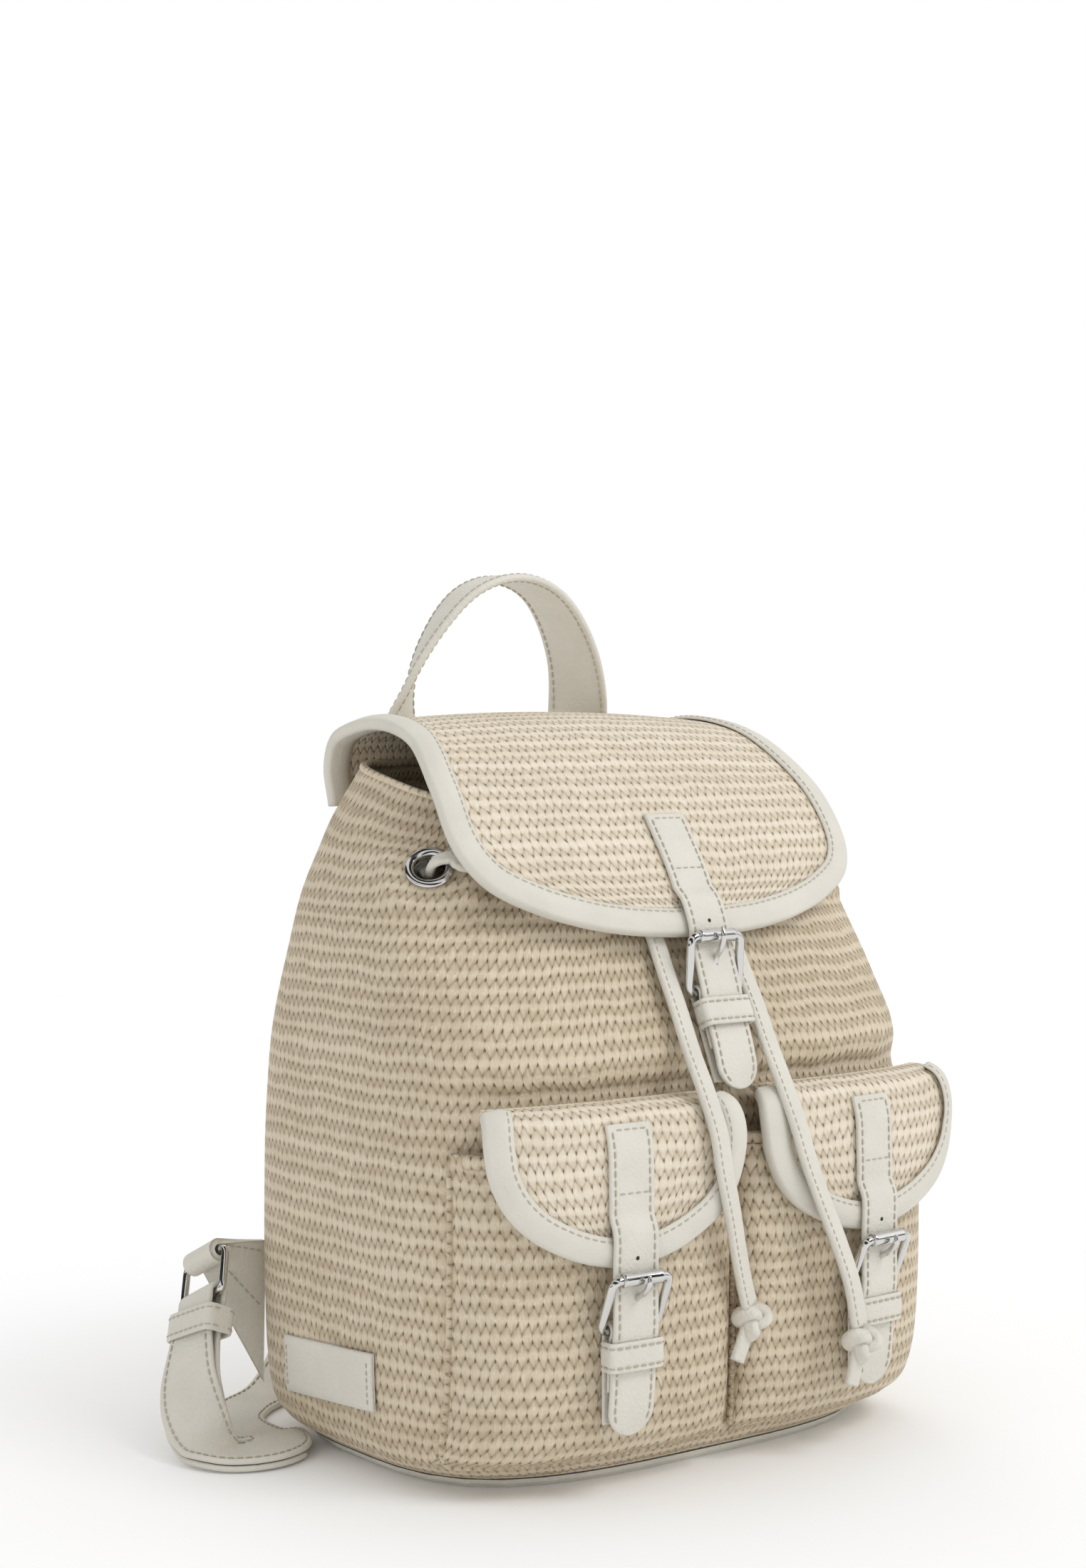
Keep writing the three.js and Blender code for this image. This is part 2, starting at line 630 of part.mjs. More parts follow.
// Pocket flap, from its seam on the bag out over the pocket's hem and down. out is measured from the bag.
const pocketFlapRows = [
  { at: 0, up: 0, out: 0.13, half: 0.9 },
  { at: 0.1, up: 0.01, out: 0.5, half: 0.95 },
  { at: 0.22, up: 0.07, out: 0.86, half: 1 },
  { at: 0.36, up: 0.22, out: 1, half: 1.02 },
  { at: 0.52, up: 0.42, out: 1, half: 0.99 },
  { at: 0.66, up: 0.61, out: 1, half: 0.9 },
  { at: 0.78, up: 0.77, out: 1, half: 0.74 },
  { at: 0.88, up: 0.89, out: 1, half: 0.52 },
  { at: 0.95, up: 0.96, out: 1, half: 0.32 },
  { at: 1, up: 1, out: 1, half: 0.13 },
];
const pocketFlapStations = [0, 0.06, 0.13, 0.22, 0.36, 0.52, 0.66, 0.77, 0.86, 0.93, 0.97, 1];
const pocketFlapAcross = spread(-1, 1, 9);
const edgingFace = flapThickness / 2 + gap + bindingLeg; // from the middle of a flap to its edging's face
const pocketFace = pocketSeat + pocketDepth; // the pocket's outer face, measured from the bag
const pocketFlapOut = pocketFace + 3.5 * gap + edgingFace;

function pocketFlapPoint(u, v) {
  const x = pocketCentreX - u * pocketFlapHalf * column(pocketFlapRows, 'half', v);
  const z = pocketFlapTop - (pocketFlapTop - pocketFlapTip) * column(pocketFlapRows, 'up', v);
  const around = pocketCentreX + (x - pocketCentreX) * 0.8;
  return vec(-x, frontAt(around, z) - pocketFlapOut * column(pocketFlapRows, 'out', v), z);
}

function buildPockets() {
  const half = flapThickness / 2;
  const pouch = between(pocketPoint, (u, v) => pocketPoint(u, v, strawWall), pocketColumns, pocketLines);
  const flap = sheet(pocketFlapPoint, pocketFlapAcross, pocketFlapStations, [half, -half], -1);
  const free = pocketFlapStations.filter((v) => v > 0.1); // the edging starts where the flap leaves the bag
  const edge = edging(edgeFrames(pocketFlapPoint, pocketFlapAcross, free), flapThickness, 2.3 * gap);
  for (const { side, sign } of sides) {
    add(`pocket_${side}`, mirrored(pouch, sign), materials.straw);
    add(`pocket_flap_${side}`, mirrored(flap, sign), materials.straw);
    add(`pocket_edging_${side}`, mirrored(edge, sign), materials.leather);
  }
}

// A closure is a strap sewn to a flap, with a roller buckle on a folded tab below it. It is made in a frame
// of its own: x across, y inwards and z up from the flap's tip, with y = 0 on the face under the tab.
const tabLay = gap + chapeThickness / 2;
const barRadius = buckleWire / 2;
const loopRadius = barRadius + gap + chapeThickness / 2;
const barOut = tabLay + loopRadius;
const barBelow = 23;
const barSpan = buckleHeight - buckleWire;
const keeperTop = 26.2;
const keeperSeat = keeperWall + 2 * gap;
const keeperLoose = 1.3; // the strap comes down through the keeper at a slope
const tabUpper = tabLay + chapeThickness + keeperSeat;
const strapOver = chapeThickness / 2 + gap + strapThickness / 2;
const tabEnd = 56;
const tabUpperEnd = 44;
const strapEnd = 60;
const strapStart = 48;

function buildClosure(name, place, flapLie) {
  const group = new THREE.Group();
  group.position.copy(place.at);
  group.quaternion.copy(place.turn);
  bag.add(group);
  const onFlap = (z) => flapLie(z) + flapThickness / 2 + gap + strapThickness / 2;
  const onEdging = (z) => onFlap(z) + 3.2 * gap + bindingLeg;
  const rollerZ = barSpan - barBelow;
  const strapAtRoller = Math.max((onEdging(0) + barOut + loopRadius + strapOver) / 2, barOut + 2.8);
  const rollerOut = strapAtRoller + strapThickness / 2 + gap + rollerRadius;
  const strapRoute = [
    ...[strapStart, 40, 30, 22, 16.5].map((z) => [z, onFlap(z)]),
    [11, onEdging(10.5)],
    [0, onEdging(0)],
    [rollerZ, strapAtRoller],
    [-13, (strapAtRoller + barOut + loopRadius + strapOver) / 2],
    [-barBelow, barOut + loopRadius + strapOver],
    [-28, tabUpper + strapOver + 1.1],
    [-35, tabUpper + strapOver + 0.3],
    [-42, tabUpper + strapOver],
    [-50, tabUpper + strapOver - 0.9],
    [-strapEnd, tabUpper - 0.6],
  ];
  const across = () => vec(1, 0, 0);
  const along = (route, steps) => framesAlong(route.map(([z, out]) => vec(0, -out, z)), across, steps);
  const tapered = (width, thickness, length, roundTip) => ({ at }) => {
    const left = at.z + length;
    const tip = roundTip && left < width / 2
      ? Math.sqrt(Math.max(0.04, 1 - (1 - Math.max(0, left) / (width / 2)) ** 2))
      : 1;
    return flat(width * tip, thickness);
  };
  const cutSlot = (geometry, z, height, width) => {
    const box = new THREE.BoxGeometry(width, 40, height).translate(0, 0, z);
    return fromSolid(toSolid(geometry).subtract(toSolid(box)));
  };
  const prongWay = 2 * (prongRadius + gap) + 0.6;
  const strap = sweep(along(strapRoute, 27), tapered(strapWidth, strapThickness, strapEnd, true));
  add(`${name}_strap`, cutSlot(strap, -13, 11.4, prongWay), materials.leather, group);

  const loop = spread(-0.5, 0.5, 6).map((t) => [
    -barBelow + loopRadius * Math.cos(Math.PI * t),
    barOut + loopRadius * Math.sin(Math.PI * t),
  ]);
  const tabRoute = [
    [-tabEnd, tabLay],
    [-45, tabLay],
    [-34, tabLay],
    [-barBelow - 2.5, tabLay],
    ...loop,
    [-barBelow - 2.8, tabUpper + 0.9],
    [-barBelow - 6.5, tabUpper + 0.1],
    [-34, tabUpper],
    [-tabUpperEnd, tabUpper - 0.4],
  ];
  const tab = sweep(along(tabRoute, 30), () => flat(strapWidth - 0.6, chapeThickness));
  add(`${name}_tab`, cutSlot(tab, -barBelow + 3, 9, prongWay), materials.leather, group);

  const tilt = Math.atan2(rollerOut - barOut, barSpan);
  const buckle = new THREE.Group();
  buckle.position.set(0, -barOut, -barBelow);
  buckle.rotation.x = tilt;
  group.add(buckle);
  const length = Math.hypot(rollerOut - barOut, barSpan);
  const reach = buckleWidth / 2 - barRadius;
  const corners = [[-reach, 0], [reach, 0], [reach, length], [-reach, length]];
  add(`${name}_buckle`, wireRing(corners, barRadius, 3, 7), materials.metal, buckle);
  const tube = [
    [barRadius + gap / 2, -rollerHalf],
    [rollerRadius, -rollerHalf],
    [rollerRadius, rollerHalf],
    [barRadius + gap / 2, rollerHalf],
    [barRadius + gap / 2, -rollerHalf],
  ].map(([r, h]) => new THREE.Vector2(r, h));
  const roller = add(`${name}_roller`, new THREE.LatheGeometry(tube, 10), materials.metal, buckle);
  roller.rotation.z = Math.PI / 2;
  roller.position.set(0, 0, length);

  const front = rollerOut + rollerRadius + 2 * gap + prongRadius;
  const prongRoute = [
    [-barBelow + barRadius + prongRadius + gap + 0.4, barOut + 0.6],
    [-barBelow + 7, strapAtRoller - 1.6],
    [-12.2, strapAtRoller + 0.2],
    [rollerZ - 5, (strapAtRoller + front) / 2 + 0.9],
    [rollerZ - 1.5, front],
    [rollerZ + 1.6, front + 0.3],
  ];
  add(`${name}_prong`, sweep(along(prongRoute, 9), () => round(prongRadius, 6)), materials.metal, group);

  const inside = tabUpper - chapeThickness / 2 - gap - keeperWall / 2;
  const outside = tabUpper + strapOver + keeperLoose + strapThickness / 2 + gap + keeperWall / 2;
  const side = strapWidth / 2 + gap + keeperWall / 2 + 0.3;
  const band = [[-side, inside], [side, inside], [side, outside], [-side, outside]];
  const keeperFrames = band.map(([x, out], i) => {
    const corner = vec(Math.sign(x), out === inside ? 1 : -1, 0);
    return { at: vec(x, -out, -keeperTop - keeperWidth / 2), across: vec(0, 0, 1), out: corner, i };
  });
  const keeperSection = () => flat(keeperWidth, keeperWall);
  add(`${name}_keeper`, sweep(keeperFrames, keeperSection, true), materials.leather, group);
}

// A closed wire through four corners in the x-z plane, rounded where it turns.
function wireRing(corners, radius, bend, sides) {
  const points = corners.flatMap(([x, z], i) => {
    const [px, pz] = corners[(i + 3) % 4];
    const [nx, nz] = corners[(i + 1) % 4];
    const from = vec(px - x, 0, pz - z).normalize();
    const to = vec(nx - x, 0, nz - z).normalize();
    const here = vec(x, 0, z);
    return [
      here.clone().addScaledVector(from, bend),
      here.clone().addScaledVector(from, bend * 0.3).addScaledVector(to, bend * 0.3),
      here.clone().addScaledVector(to, bend),
    ];
  });
  const frames = points.map((at, i) => {
    const tangent = points[(i + 1) % points.length].clone().sub(points[(i + points.length - 1) % points.length]).normalize();
    const across = vec(0, 1, 0);
    return { at, across, out: across.clone().cross(tangent) };
  });
  return sweep(frames, () => round(radius, sides), true);
}

function buildClosures() {
  const middle = (pocketFlapTip + pocketBottom) / 2 + 20;
  const slope = (frontAt(pocketCentreX + 1, middle) - frontAt(pocketCentreX - 1, middle)) / 2;
  for (const { side, sign } of sides) {
    const at = vec(-sign * pocketCentreX, frontAt(pocketCentreX, middle) - pocketFace, pocketFlapTip);
    const turn = new THREE.Quaternion().setFromAxisAngle(vec(0, 0, 1), -sign * Math.atan(slope));
    const lie = (z) => {
      const height = pocketFlapTip + z;
      const row = findRow(pocketFlapRows, (v) => pocketFlapPoint(0, v).z, height);
      return frontAt(pocketCentreX, middle) - pocketFace - pocketFlapPoint(0, row).y;
    };
    buildClosure(`pocket_${side}`, { at, turn }, lie);
  }
  const tip = flapPoint(0, 1);
  const turn = new THREE.Quaternion().setFromAxisAngle(vec(1, 0, 0), radians(-mainStrapSlope));
  const inwards = vec(0, 1, 0).applyQuaternion(turn);
  const at = tip.clone().addScaledVector(inwards, mainFlapOut);
  const inverse = turn.clone().invert();
  const local = (v) => flapPoint(0, v).sub(at).applyQuaternion(inverse);
  const lie = (z) => -local(findRow(flapRows, (v) => local(v).z, z)).y;
  buildClosure('flap', { at, turn }, lie);
}

const mainStrapSlope = 24;
const mainFlapOut = 6.4; // the flap's tip stands off the bag, over the drawstring

// The place between the rows of a table where a height that falls from row to row has the value wanted.
function findRow(rows, heightAt, wanted) {
  let [low, high] = [rows[0].at, rows[rows.length - 1].at];
  if (wanted <= heightAt(high)) return high;
  for (let i = 0; i < 24; i += 1) {
    const half = (low + high) / 2;
    if (heightAt(half) > wanted) low = half;
    else high = half;
  }
  return low;
}

// Carrying loop: one strap from the back of the flap over to the other side. Heights are measured from the
// bag's top.
const handleRoute = [[-42, 64.2, -13], [-44, 64.6, 0], [-45, 60, 16], [-38, 54, 44], [-20, 50, 68]];
const handleWidths = [
  { at: 0, x: 1, y: 0 },
  { at: 0.1, x: 0.95, y: 0.3 },
  { at: 0.2, x: 0.6, y: 0.8 },
  { at: 0.35, x: 0.25, y: 1 },
  { at: 0.5, x: 0, y: 1 },
];

function buildHandle() {
  const apex = [0, 49, handleTop - bagHeight - handleThickness / 2];
  const right = [...handleRoute].reverse().map(([x, y, z]) => [-x, y, z]);
  const points = [...handleRoute, apex, ...right].map(([x, y, z]) => vec(x, y, bagHeight + z));
  const widthAt = (at, t) => {
    const near = Math.min(t, 1 - t);
    const x = column(handleWidths, 'x', near) * (t > 0.5 ? -1 : 1);
    return vec(x, column(handleWidths, 'y', near), 0);
  };
  add('handle', sweep(framesAlong(points, widthAt, 32), () => flat(handleWidth, handleThickness)), materials.leather);
}

// Label on the left side, laid on the bag's curve.
const labelFrom = -33; // its front edge, along Y
const labelLow = 22;
const labelRise = 0.07; // per millimetre towards the front

function buildLabel() {
  const sideAt = (y, z) => {
    const share = z / bagHeight;
    const wide = bagHalfWidth * column(bodyRows, 'wide', share);
    const deep = y < 0
      ? bagFrontDepth * column(bodyRows, 'front', share)
      : bagBackDepth * column(bodyRows, 'back', share);
    const square = column(bodyRows, 'square', share);
    return wide * (1 - (Math.abs(y) / deep) ** square) ** (1 / square);
  };
  const place = (u, v) => {
    const y = labelFrom + labelLength * u;
    const z = labelLow + labelHeight * v + labelRise * (labelLength * (1 - u));
    return vec(-sideAt(y, z) - 2 * gap, y, z);
  };
  const us = spread(0, 1, 7);
  const vs = spread(0, 1, 4);
  add('label_patch', sheet(place, us, vs, [labelThickness, 0], -1), materials.leather);
}

// Ring at the foot of the left seam: its upper bar holds the gusset's fold, its lower bar the shoulder strap.
const ringUpper = vec(-bagHalfWidth - 11.7, 66.4, 66.5);
const ringAlong = vec(-0.07, 0.9, -0.43).normalize();
const ringDown = vec(-0.34, -0.45, -0.825);
ringDown.addScaledVector(ringAlong, -ringDown.dot(ringAlong)).normalize();
const ringSpan = ringHeight - ringWire;
const ringLower = ringUpper.clone().addScaledVector(ringDown, ringSpan);
const ringOut = ringAlong.clone().cross(ringDown).normalize(); // away from the bag

function buildRings() {
  const half = (ringLength - ringWire) / 2;
  const wire = wireRing([[-half, 0], [half, 0], [half, ringSpan], [-half, ringSpan]], ringWire / 2, 3, 7);
  const up = ringDown.clone().negate();
  wire.applyMatrix4(new THREE.Matrix4().makeBasis(ringAlong, up.clone().cross(ringAlong), up));
  const lower = ringLower;
  wire.translate(lower.x, lower.y, lower.z);
  for (const { side, sign } of sides) add(`ring_${side}`, mirrored(wire, sign), materials.metal);
}

// Gusset: a leather piece from the seam to the ring, folded round the ring's upper bar.
const gussetTop = 71;
const gussetFoot = 16;
const gussetHold = 20; // its width at the ring
const gussetTurn = 280; // degrees round the bar
const foldAt = 0.5; // the share of the gusset before the fold

function gussetPoint(u, v) {
  const corner = bodyPoint(180 - seamAngle, 0.2);
  const seam = vec(corner.x - 1.3, corner.y + 1.9, gussetFoot + (gussetTop - gussetFoot) * v);
  const bar = ringUpper.clone().addScaledVector(ringAlong, gussetHold * (0.5 - v));
  const towards = seam.clone().sub(bar);
  towards.addScaledVector(ringAlong, -towards.dot(ringAlong)).normalize();
  const above = towards.clone().cross(ringAlong).normalize();
  if (above.z < 0) above.negate();
  const radius = ringWire / 2 + 2 * gap + gussetThickness / 2;
  if (u <= foldAt) return seam.lerp(bar.addScaledVector(above, radius), u / foldAt);
  const angle = radians(gussetTurn * (u - foldAt) / (1 - foldAt));
  return bar.addScaledVector(above, radius * Math.cos(angle)).addScaledVector(towards, -radius * Math.sin(angle));
}

function buildGussets() {
  const us = [0, 0.25, 0.44, ...spread(foldAt, 1, 9)];
  const plate = sheet(gussetPoint, us, [0, 0.5, 1], [gussetThickness / 2, -gussetThickness / 2]);
  for (const { side, sign } of sides) add(`gusset_${side}`, mirrored(plate, sign), materials.leather);
}

// Shoulder strap, from under the flap down behind the bag, forward along the floor beside it, round and up
// to the ring, through it and back beneath itself. across is the width direction wanted at each point, and
// foot the bag's side.
const foot = -bagHalfWidth;
const shoulderRoute = [
  { at: [-32, 69.5, bagHeight - 24], across: [-0.5, 0, 0.85] },
  { at: [-49, 74, bagHeight - 35], across: [-0.6, 0, 0.75] },
  { at: [-64, 84, bagHeight - 60], across: [-0.93, 0, 0.3] },
  { at: [-69, 94, 150], across: [-1, 0.1, 0] },
  { at: [-68, 97, 100], across: [-0.9, 0.45, 0] },
  { at: [-66, 97, 50], across: [-0.7, 0.7, 0] },
  { at: [-71, 96, 17], across: [-0.6, 0.8, 0] },
  { at: [-85, 92, 3.6], across: [-0.35, 0.94, 0] },
  { at: [foot + 14, 82, 1.6], across: [-0.5, 0.85, 0] },
  { at: [foot + 1, 68, 1.6], across: [-0.85, 0.5, 0] },
  { at: [foot - 2.5, 54, 1.6], across: [-1, 0, 0] },
  { at: [foot - 2.5, 41, 2], across: [-1, 0, 0] },
  { at: [foot - 2.5, 31, 4.4], across: [-1, 0, 0] },
  { at: [foot - 6.8, 20.7, 4.4], across: [-0.7, 0.7, 0] },
  { at: [foot - 17, 16.5, 4.4], across: [0, 1, 0] },
  { at: [foot - 27.2, 20.7, 4.4], across: [0.7, 0.7, 0] },
  { at: [foot - 31.5, 30, 7], across: [1, 0, 0.1] },
  { at: [foot - 32.5, 38, 15], across: [0.85, -0.3, 0.35] },
  { at: [foot - 31, 45.5, 25], across: [0.55, -0.6, 0.4] },
  { at: [foot - 27.5, 51, 35], across: [0.3, -0.85, 0.35] },
];
const shoulderLap = 0.8; // the share of the route at which the end beneath it stops
const straightBelow = 6; // of the strap, under the ring
const shoulderSteps = 36;
const lapAtKeeper = 5.7; // between the middles of the strap's two layers
const lapOffset = shoulderThickness + gap;

function shoulderFrames() {
  const radius = ringWire / 2 + gap + shoulderThickness / 2;
  const across = ringAlong.clone().negate();
  const beside = (sign, below) => ringLower.clone()
    .addScaledVector(ringOut, sign * radius).addScaledVector(ringDown, below);
  const rows = shoulderRoute.map((row) => ({ at: vec(...row.at), across: vec(...row.across) }));
  rows.push({ at: beside(1, straightBelow), across });
  const path = new THREE.CatmullRomCurve3(rows.map(({ at }) => at), false, 'centripetal');
  const widths = new THREE.CatmullRomCurve3(rows.map(({ across }) => across), false, 'catmullrom');
  const shares = spread(0, 1, shoulderSteps + 1).map((t) => 1 - (1 - t) ** 1.35); // finer near the ring
  const frames = shares.map((share) => {
    const t = path.getUtoTmapping(share);
    const tangent = path.getTangent(t);
    const width = widths.getPoint(t);
    width.addScaledVector(tangent, -width.dot(tangent)).normalize();
    return { at: path.getPoint(t), across: width, out: width.clone().cross(tangent).normalize() };
  });
  const turn = spread(0, 180, 7).map((angle) => {
    const away = ringOut.clone().multiplyScalar(Math.cos(radians(angle)))
      .addScaledVector(ringDown, -Math.sin(radians(angle)));
    return { at: ringLower.clone().addScaledVector(away, radius), across, out: away };
  });
  const below = { at: beside(-1, straightBelow), across, out: ringOut.clone().negate() };
  const lap = frames.slice(shares.findIndex((share) => share > shoulderLap), shoulderSteps).reverse();
  const under = lap.map(({ at, across: width, out }, i) => {
    const offset = lapOffset + (2 * radius - lapOffset) * Math.exp(-(i + 1) / 1.5);
    return { at: at.clone().addScaledVector(out, -offset), across: width, out: out.clone().negate() };
  });
  return { frames, all: [...frames, ...turn, below, ...under] };
}

function buildShoulders() {
  const { frames, all } = shoulderFrames();
  const strap = sweep(all, () => flat(shoulderWidth, shoulderThickness));
  const { at, across, out } = frames[shoulderSteps - 1];
  const tangent = across.clone().cross(out).normalize();
  const middle = at.clone().addScaledVector(out, -lapAtKeeper / 2 - gap);
  const wide = shoulderWidth / 2 + 4 * gap + keeperWall / 2;
  const deep = (lapAtKeeper + shoulderThickness) / 2 + 4 * gap + keeperWall / 2;
  const band = [[-1, -1], [1, -1], [1, 1], [-1, 1]].map(([a, b]) => ({
    at: middle.clone().addScaledVector(across, a * wide).addScaledVector(out, b * deep),
    across: tangent,
    out: across.clone().multiplyScalar(a).addScaledVector(out, b),
  }));
  const keeper = sweep(band, () => flat(keeperWidth, keeperWall), true);
  for (const { side, sign } of sides) {
    add(`shoulder_strap_${side}`, mirrored(strap, sign), materials.leather);
    add(`shoulder_keeper_${side}`, mirrored(keeper, sign), materials.leather);
  }
}

buildBody();
buildBase();
buildEyelets();
buildDrawstring();
buildTails();
buildFlap();
buildPockets();
buildClosures();
buildHandle();
buildLabel();
buildRings();
buildGussets();
buildShoulders();

export default bag;
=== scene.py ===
"""Woven straw backpack with leather trim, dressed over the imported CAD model.

Sizes are in millimetres, as in the part's source, and turn into metres when a mesh is made. +Z is up, -Y the
front and +X to the right of someone who faces the front.
"""

import logging
import math
from dataclasses import dataclass, field
from enum import Enum
from functools import lru_cache
from typing import Callable, Mapping, Sequence

import bpy
import numpy as np
from numpy.typing import NDArray
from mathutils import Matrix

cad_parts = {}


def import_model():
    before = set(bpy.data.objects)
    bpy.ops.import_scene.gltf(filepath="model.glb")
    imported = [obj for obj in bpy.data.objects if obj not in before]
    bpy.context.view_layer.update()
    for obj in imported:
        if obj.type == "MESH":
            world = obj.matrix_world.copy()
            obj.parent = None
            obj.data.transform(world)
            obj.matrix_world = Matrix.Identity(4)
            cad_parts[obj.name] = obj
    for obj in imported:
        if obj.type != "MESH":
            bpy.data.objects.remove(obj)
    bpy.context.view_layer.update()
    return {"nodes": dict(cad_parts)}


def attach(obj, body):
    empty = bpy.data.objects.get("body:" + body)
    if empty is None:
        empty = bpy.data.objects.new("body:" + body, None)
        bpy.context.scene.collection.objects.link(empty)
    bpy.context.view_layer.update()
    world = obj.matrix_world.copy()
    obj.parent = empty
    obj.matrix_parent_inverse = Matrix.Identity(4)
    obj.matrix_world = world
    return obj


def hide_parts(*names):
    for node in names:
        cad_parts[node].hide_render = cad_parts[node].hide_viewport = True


Array = NDArray[np.float64]
Material, Object = bpy.types.Material, bpy.types.Object
Node, NodeTree, Socket = bpy.types.Node, bpy.types.NodeTree, bpy.types.NodeSocket
Surface = Callable[[Array, Array], Array]

LOG = logging.getLogger("backpack")
MM = 0.001
ROOT = "root"
GAP = 0.35  # between two pieces that touch
STRAP_STEPS = 320  # along a shoulder strap, from the flap to its ring


class Side(Enum):
    """Side of the bag that a piece belongs to; the left one is made and the right one mirrored."""

    LEFT = 1.0
    RIGHT = -1.0

    @property
    def label(self) -> str:
        """Name of the side in piece names."""
        return self.name.lower()


# ---- Numbers and curves


def vec(x: float, y: float, z: float) -> Array:
    """A point or direction as an array."""
    return np.array([x, y, z], dtype=float)


def unit(v: Array) -> Array:
    """v at length one, along its last axis."""
    return v / np.maximum(np.linalg.norm(v, axis=-1, keepdims=True), 1e-12)


def smooth(x: Array | float, low: float, high: float) -> Array:
    """Smooth step from 0 at low to 1 at high."""
    t = np.clip((np.asarray(x, dtype=float) - low) / (high - low), 0.0, 1.0)
    return t * t * (3.0 - 2.0 * t)


def mirrored(points: Array, side: Side) -> Array:
    """Points of the left side, carried over to the side that is wanted."""
    return points * vec(side.value, 1, 1)


def hermite(start: Array, end: Array, slope_start: Array, slope_end: Array, t: Array) -> Array:
    """A cubic from start to end with a slope at each, for t from 0 to 1.

    Args:
        start: value at t = 0.
        end: value at t = 1.
        slope_start: slope at the start.
        slope_end: slope at the end.
        t: where it is wanted.

    Returns:
        The four values, weighted with the cubic Hermite polynomials of t.
    """
    to_end = t * t * (3 - 2 * t)
    return (1 - to_end) * start + to_end * end + t * (1 - t) ** 2 * slope_start - t * t * (1 - t) * slope_end


def run_length(points: Array) -> Array:
    """Distance of each point from the first, summed from point to point."""
    return np.concatenate([[0.0], np.cumsum(np.linalg.norm(np.diff(points, axis=0), axis=1))])


def columns_at(wanted: Array, places: Array, values: Array) -> Array:
    """Each column of values, given at rising places and read at the places wanted."""
    return np.stack([np.interp(wanted, places, column) for column in values.T], axis=1)


def turning(angles: Array) -> Array:
    """Pairs of cosine and sine of angles in degrees."""
    return np.stack([np.cos(np.radians(angles)), np.sin(np.radians(angles))], axis=-1)


def rounded_box(wide: float, high: float, power: float) -> Array:
    """Pairs round a superellipse: half sizes times cosine and sine, each raised to a power with its sign kept."""
    pairs = turning(np.linspace(0, 360, 72, endpoint=False))
    return [wide, high] * np.sign(pairs) * np.abs(pairs) ** power


@dataclass(frozen=True)
class Table:
    """Rows of named columns; the first column says where each row stands."""

    names: tuple[str, ...]
    rows: tuple[tuple[float, ...], ...]

    def column(self, name: str, at: Array | float) -> Array:
        """Values of a column at places between the rows, on a smooth curve through the rows.

        Args:
            name: the column.
            at: places on the scale of the first column.

        Returns:
            The values, in the shape of at.
        """
        grid = np.array(self.rows)
        xs = grid[:, 0]
        ys = grid[:, self.names.index(name)]
        at = np.asarray(at, dtype=float)
        last = len(xs) - 1
        i = np.clip(np.searchsorted(xs, at, side="right") - 1, 0, last - 1)
        before = np.maximum(i - 1, 0)
        after = np.minimum(i + 2, last)
        span = xs[i + 1] - xs[i]
        t = np.clip((at - xs[i]) / span, 0.0, 1.0)
        slope_a = (ys[i + 1] - ys[before]) / (xs[i + 1] - xs[before]) * span
        slope_b = (ys[after] - ys[i]) / (xs[after] - xs[i]) * span
        return hermite(ys[i], ys[i + 1], slope_a, slope_b, t)


def spline(points: Array, steps: int, extra: Array | None = None) -> tuple[Array, Array]:
    """A centripetal Catmull-Rom curve through points, in equal steps along its length.

    Each stretch is a cubic whose end slopes weigh the neighbouring chords by the square roots of their lengths.

    Args:
        points: the points to pass through, one row each.
        steps: number of stretches in the result.
        extra: values carried along with the points, such as width directions.

    Returns:
        The curve's points, and the extra values there (or the points again).
    """
    carried = points if extra is None else extra
    padded = np.vstack([2 * points[0] - points[1], points, 2 * points[-1] - points[-2]])
    padded_extra = np.vstack([2 * carried[0] - carried[1], carried, 2 * carried[-1] - carried[-2]])
    t = np.linspace(0.0, 1.0, 24, endpoint=False)[:, None]
    curve, curve_extra = [], []
    for k in range(len(points) - 1):
        p0, p1, p2, p3 = padded[k : k + 4]
        d0, d1, d2 = np.sqrt(np.maximum(np.linalg.norm(np.diff(padded[k : k + 4], axis=0), axis=1), 1e-9))
        slope_1 = ((p1 - p0) / d0 - (p2 - p0) / (d0 + d1) + (p2 - p1) / d1) * d1
        slope_2 = ((p2 - p1) / d1 - (p3 - p1) / (d1 + d2) + (p3 - p2) / d2) * d1
        curve.append(hermite(p1, p2, slope_1, slope_2, t))
        e0, e1, e2, e3 = padded_extra[k : k + 4]
        curve_extra.append(hermite(e1, e2, (e2 - e0) / 2, (e3 - e1) / 2, t))
    dense = np.vstack([*curve, points[-1:]])
    dense_extra = np.vstack([*curve_extra, carried[-1:]])
    length = run_length(dense)
    wanted = np.linspace(0.0, length[-1], steps + 1)
    return columns_at(wanted, length, dense), columns_at(wanted, length, dense_extra)


@dataclass
class Frames:
    """Places along a strip: its middle, width direction and outward direction."""

    at: Array
    across: Array
    out: Array

    @classmethod
    def along(cls, points: Array, widths: Array, closed: bool = False) -> "Frames":
        """Frames at points, square to the path, with the width near to the one wanted.

        Args:
            points: the path.
            widths: width direction wanted at each point, or one for all.
            closed: whether the path joins itself.

        Returns:
            The frames.
        """
        if closed:
            tangent = unit(np.roll(points, -1, axis=0) - np.roll(points, 1, axis=0))
        else:
            tangent = unit(np.gradient(points, axis=0))
        wanted = np.broadcast_to(widths, points.shape)
        across = unit(wanted - np.sum(wanted * tangent, axis=1, keepdims=True) * tangent)
        return cls(points, across, unit(np.cross(across, tangent)))

    def mirrored(self, side: Side) -> "Frames":
        """These frames, carried over to the side that is wanted."""
        return Frames(*(mirrored(values, side) for values in (self.at, self.across, self.out)))

    def lifted(self, across: float, out: float) -> Array:
        """Points beside the middle line, by a distance across and one outwards."""
        return self.at + across * self.across + out * self.out


# ---- Meshes


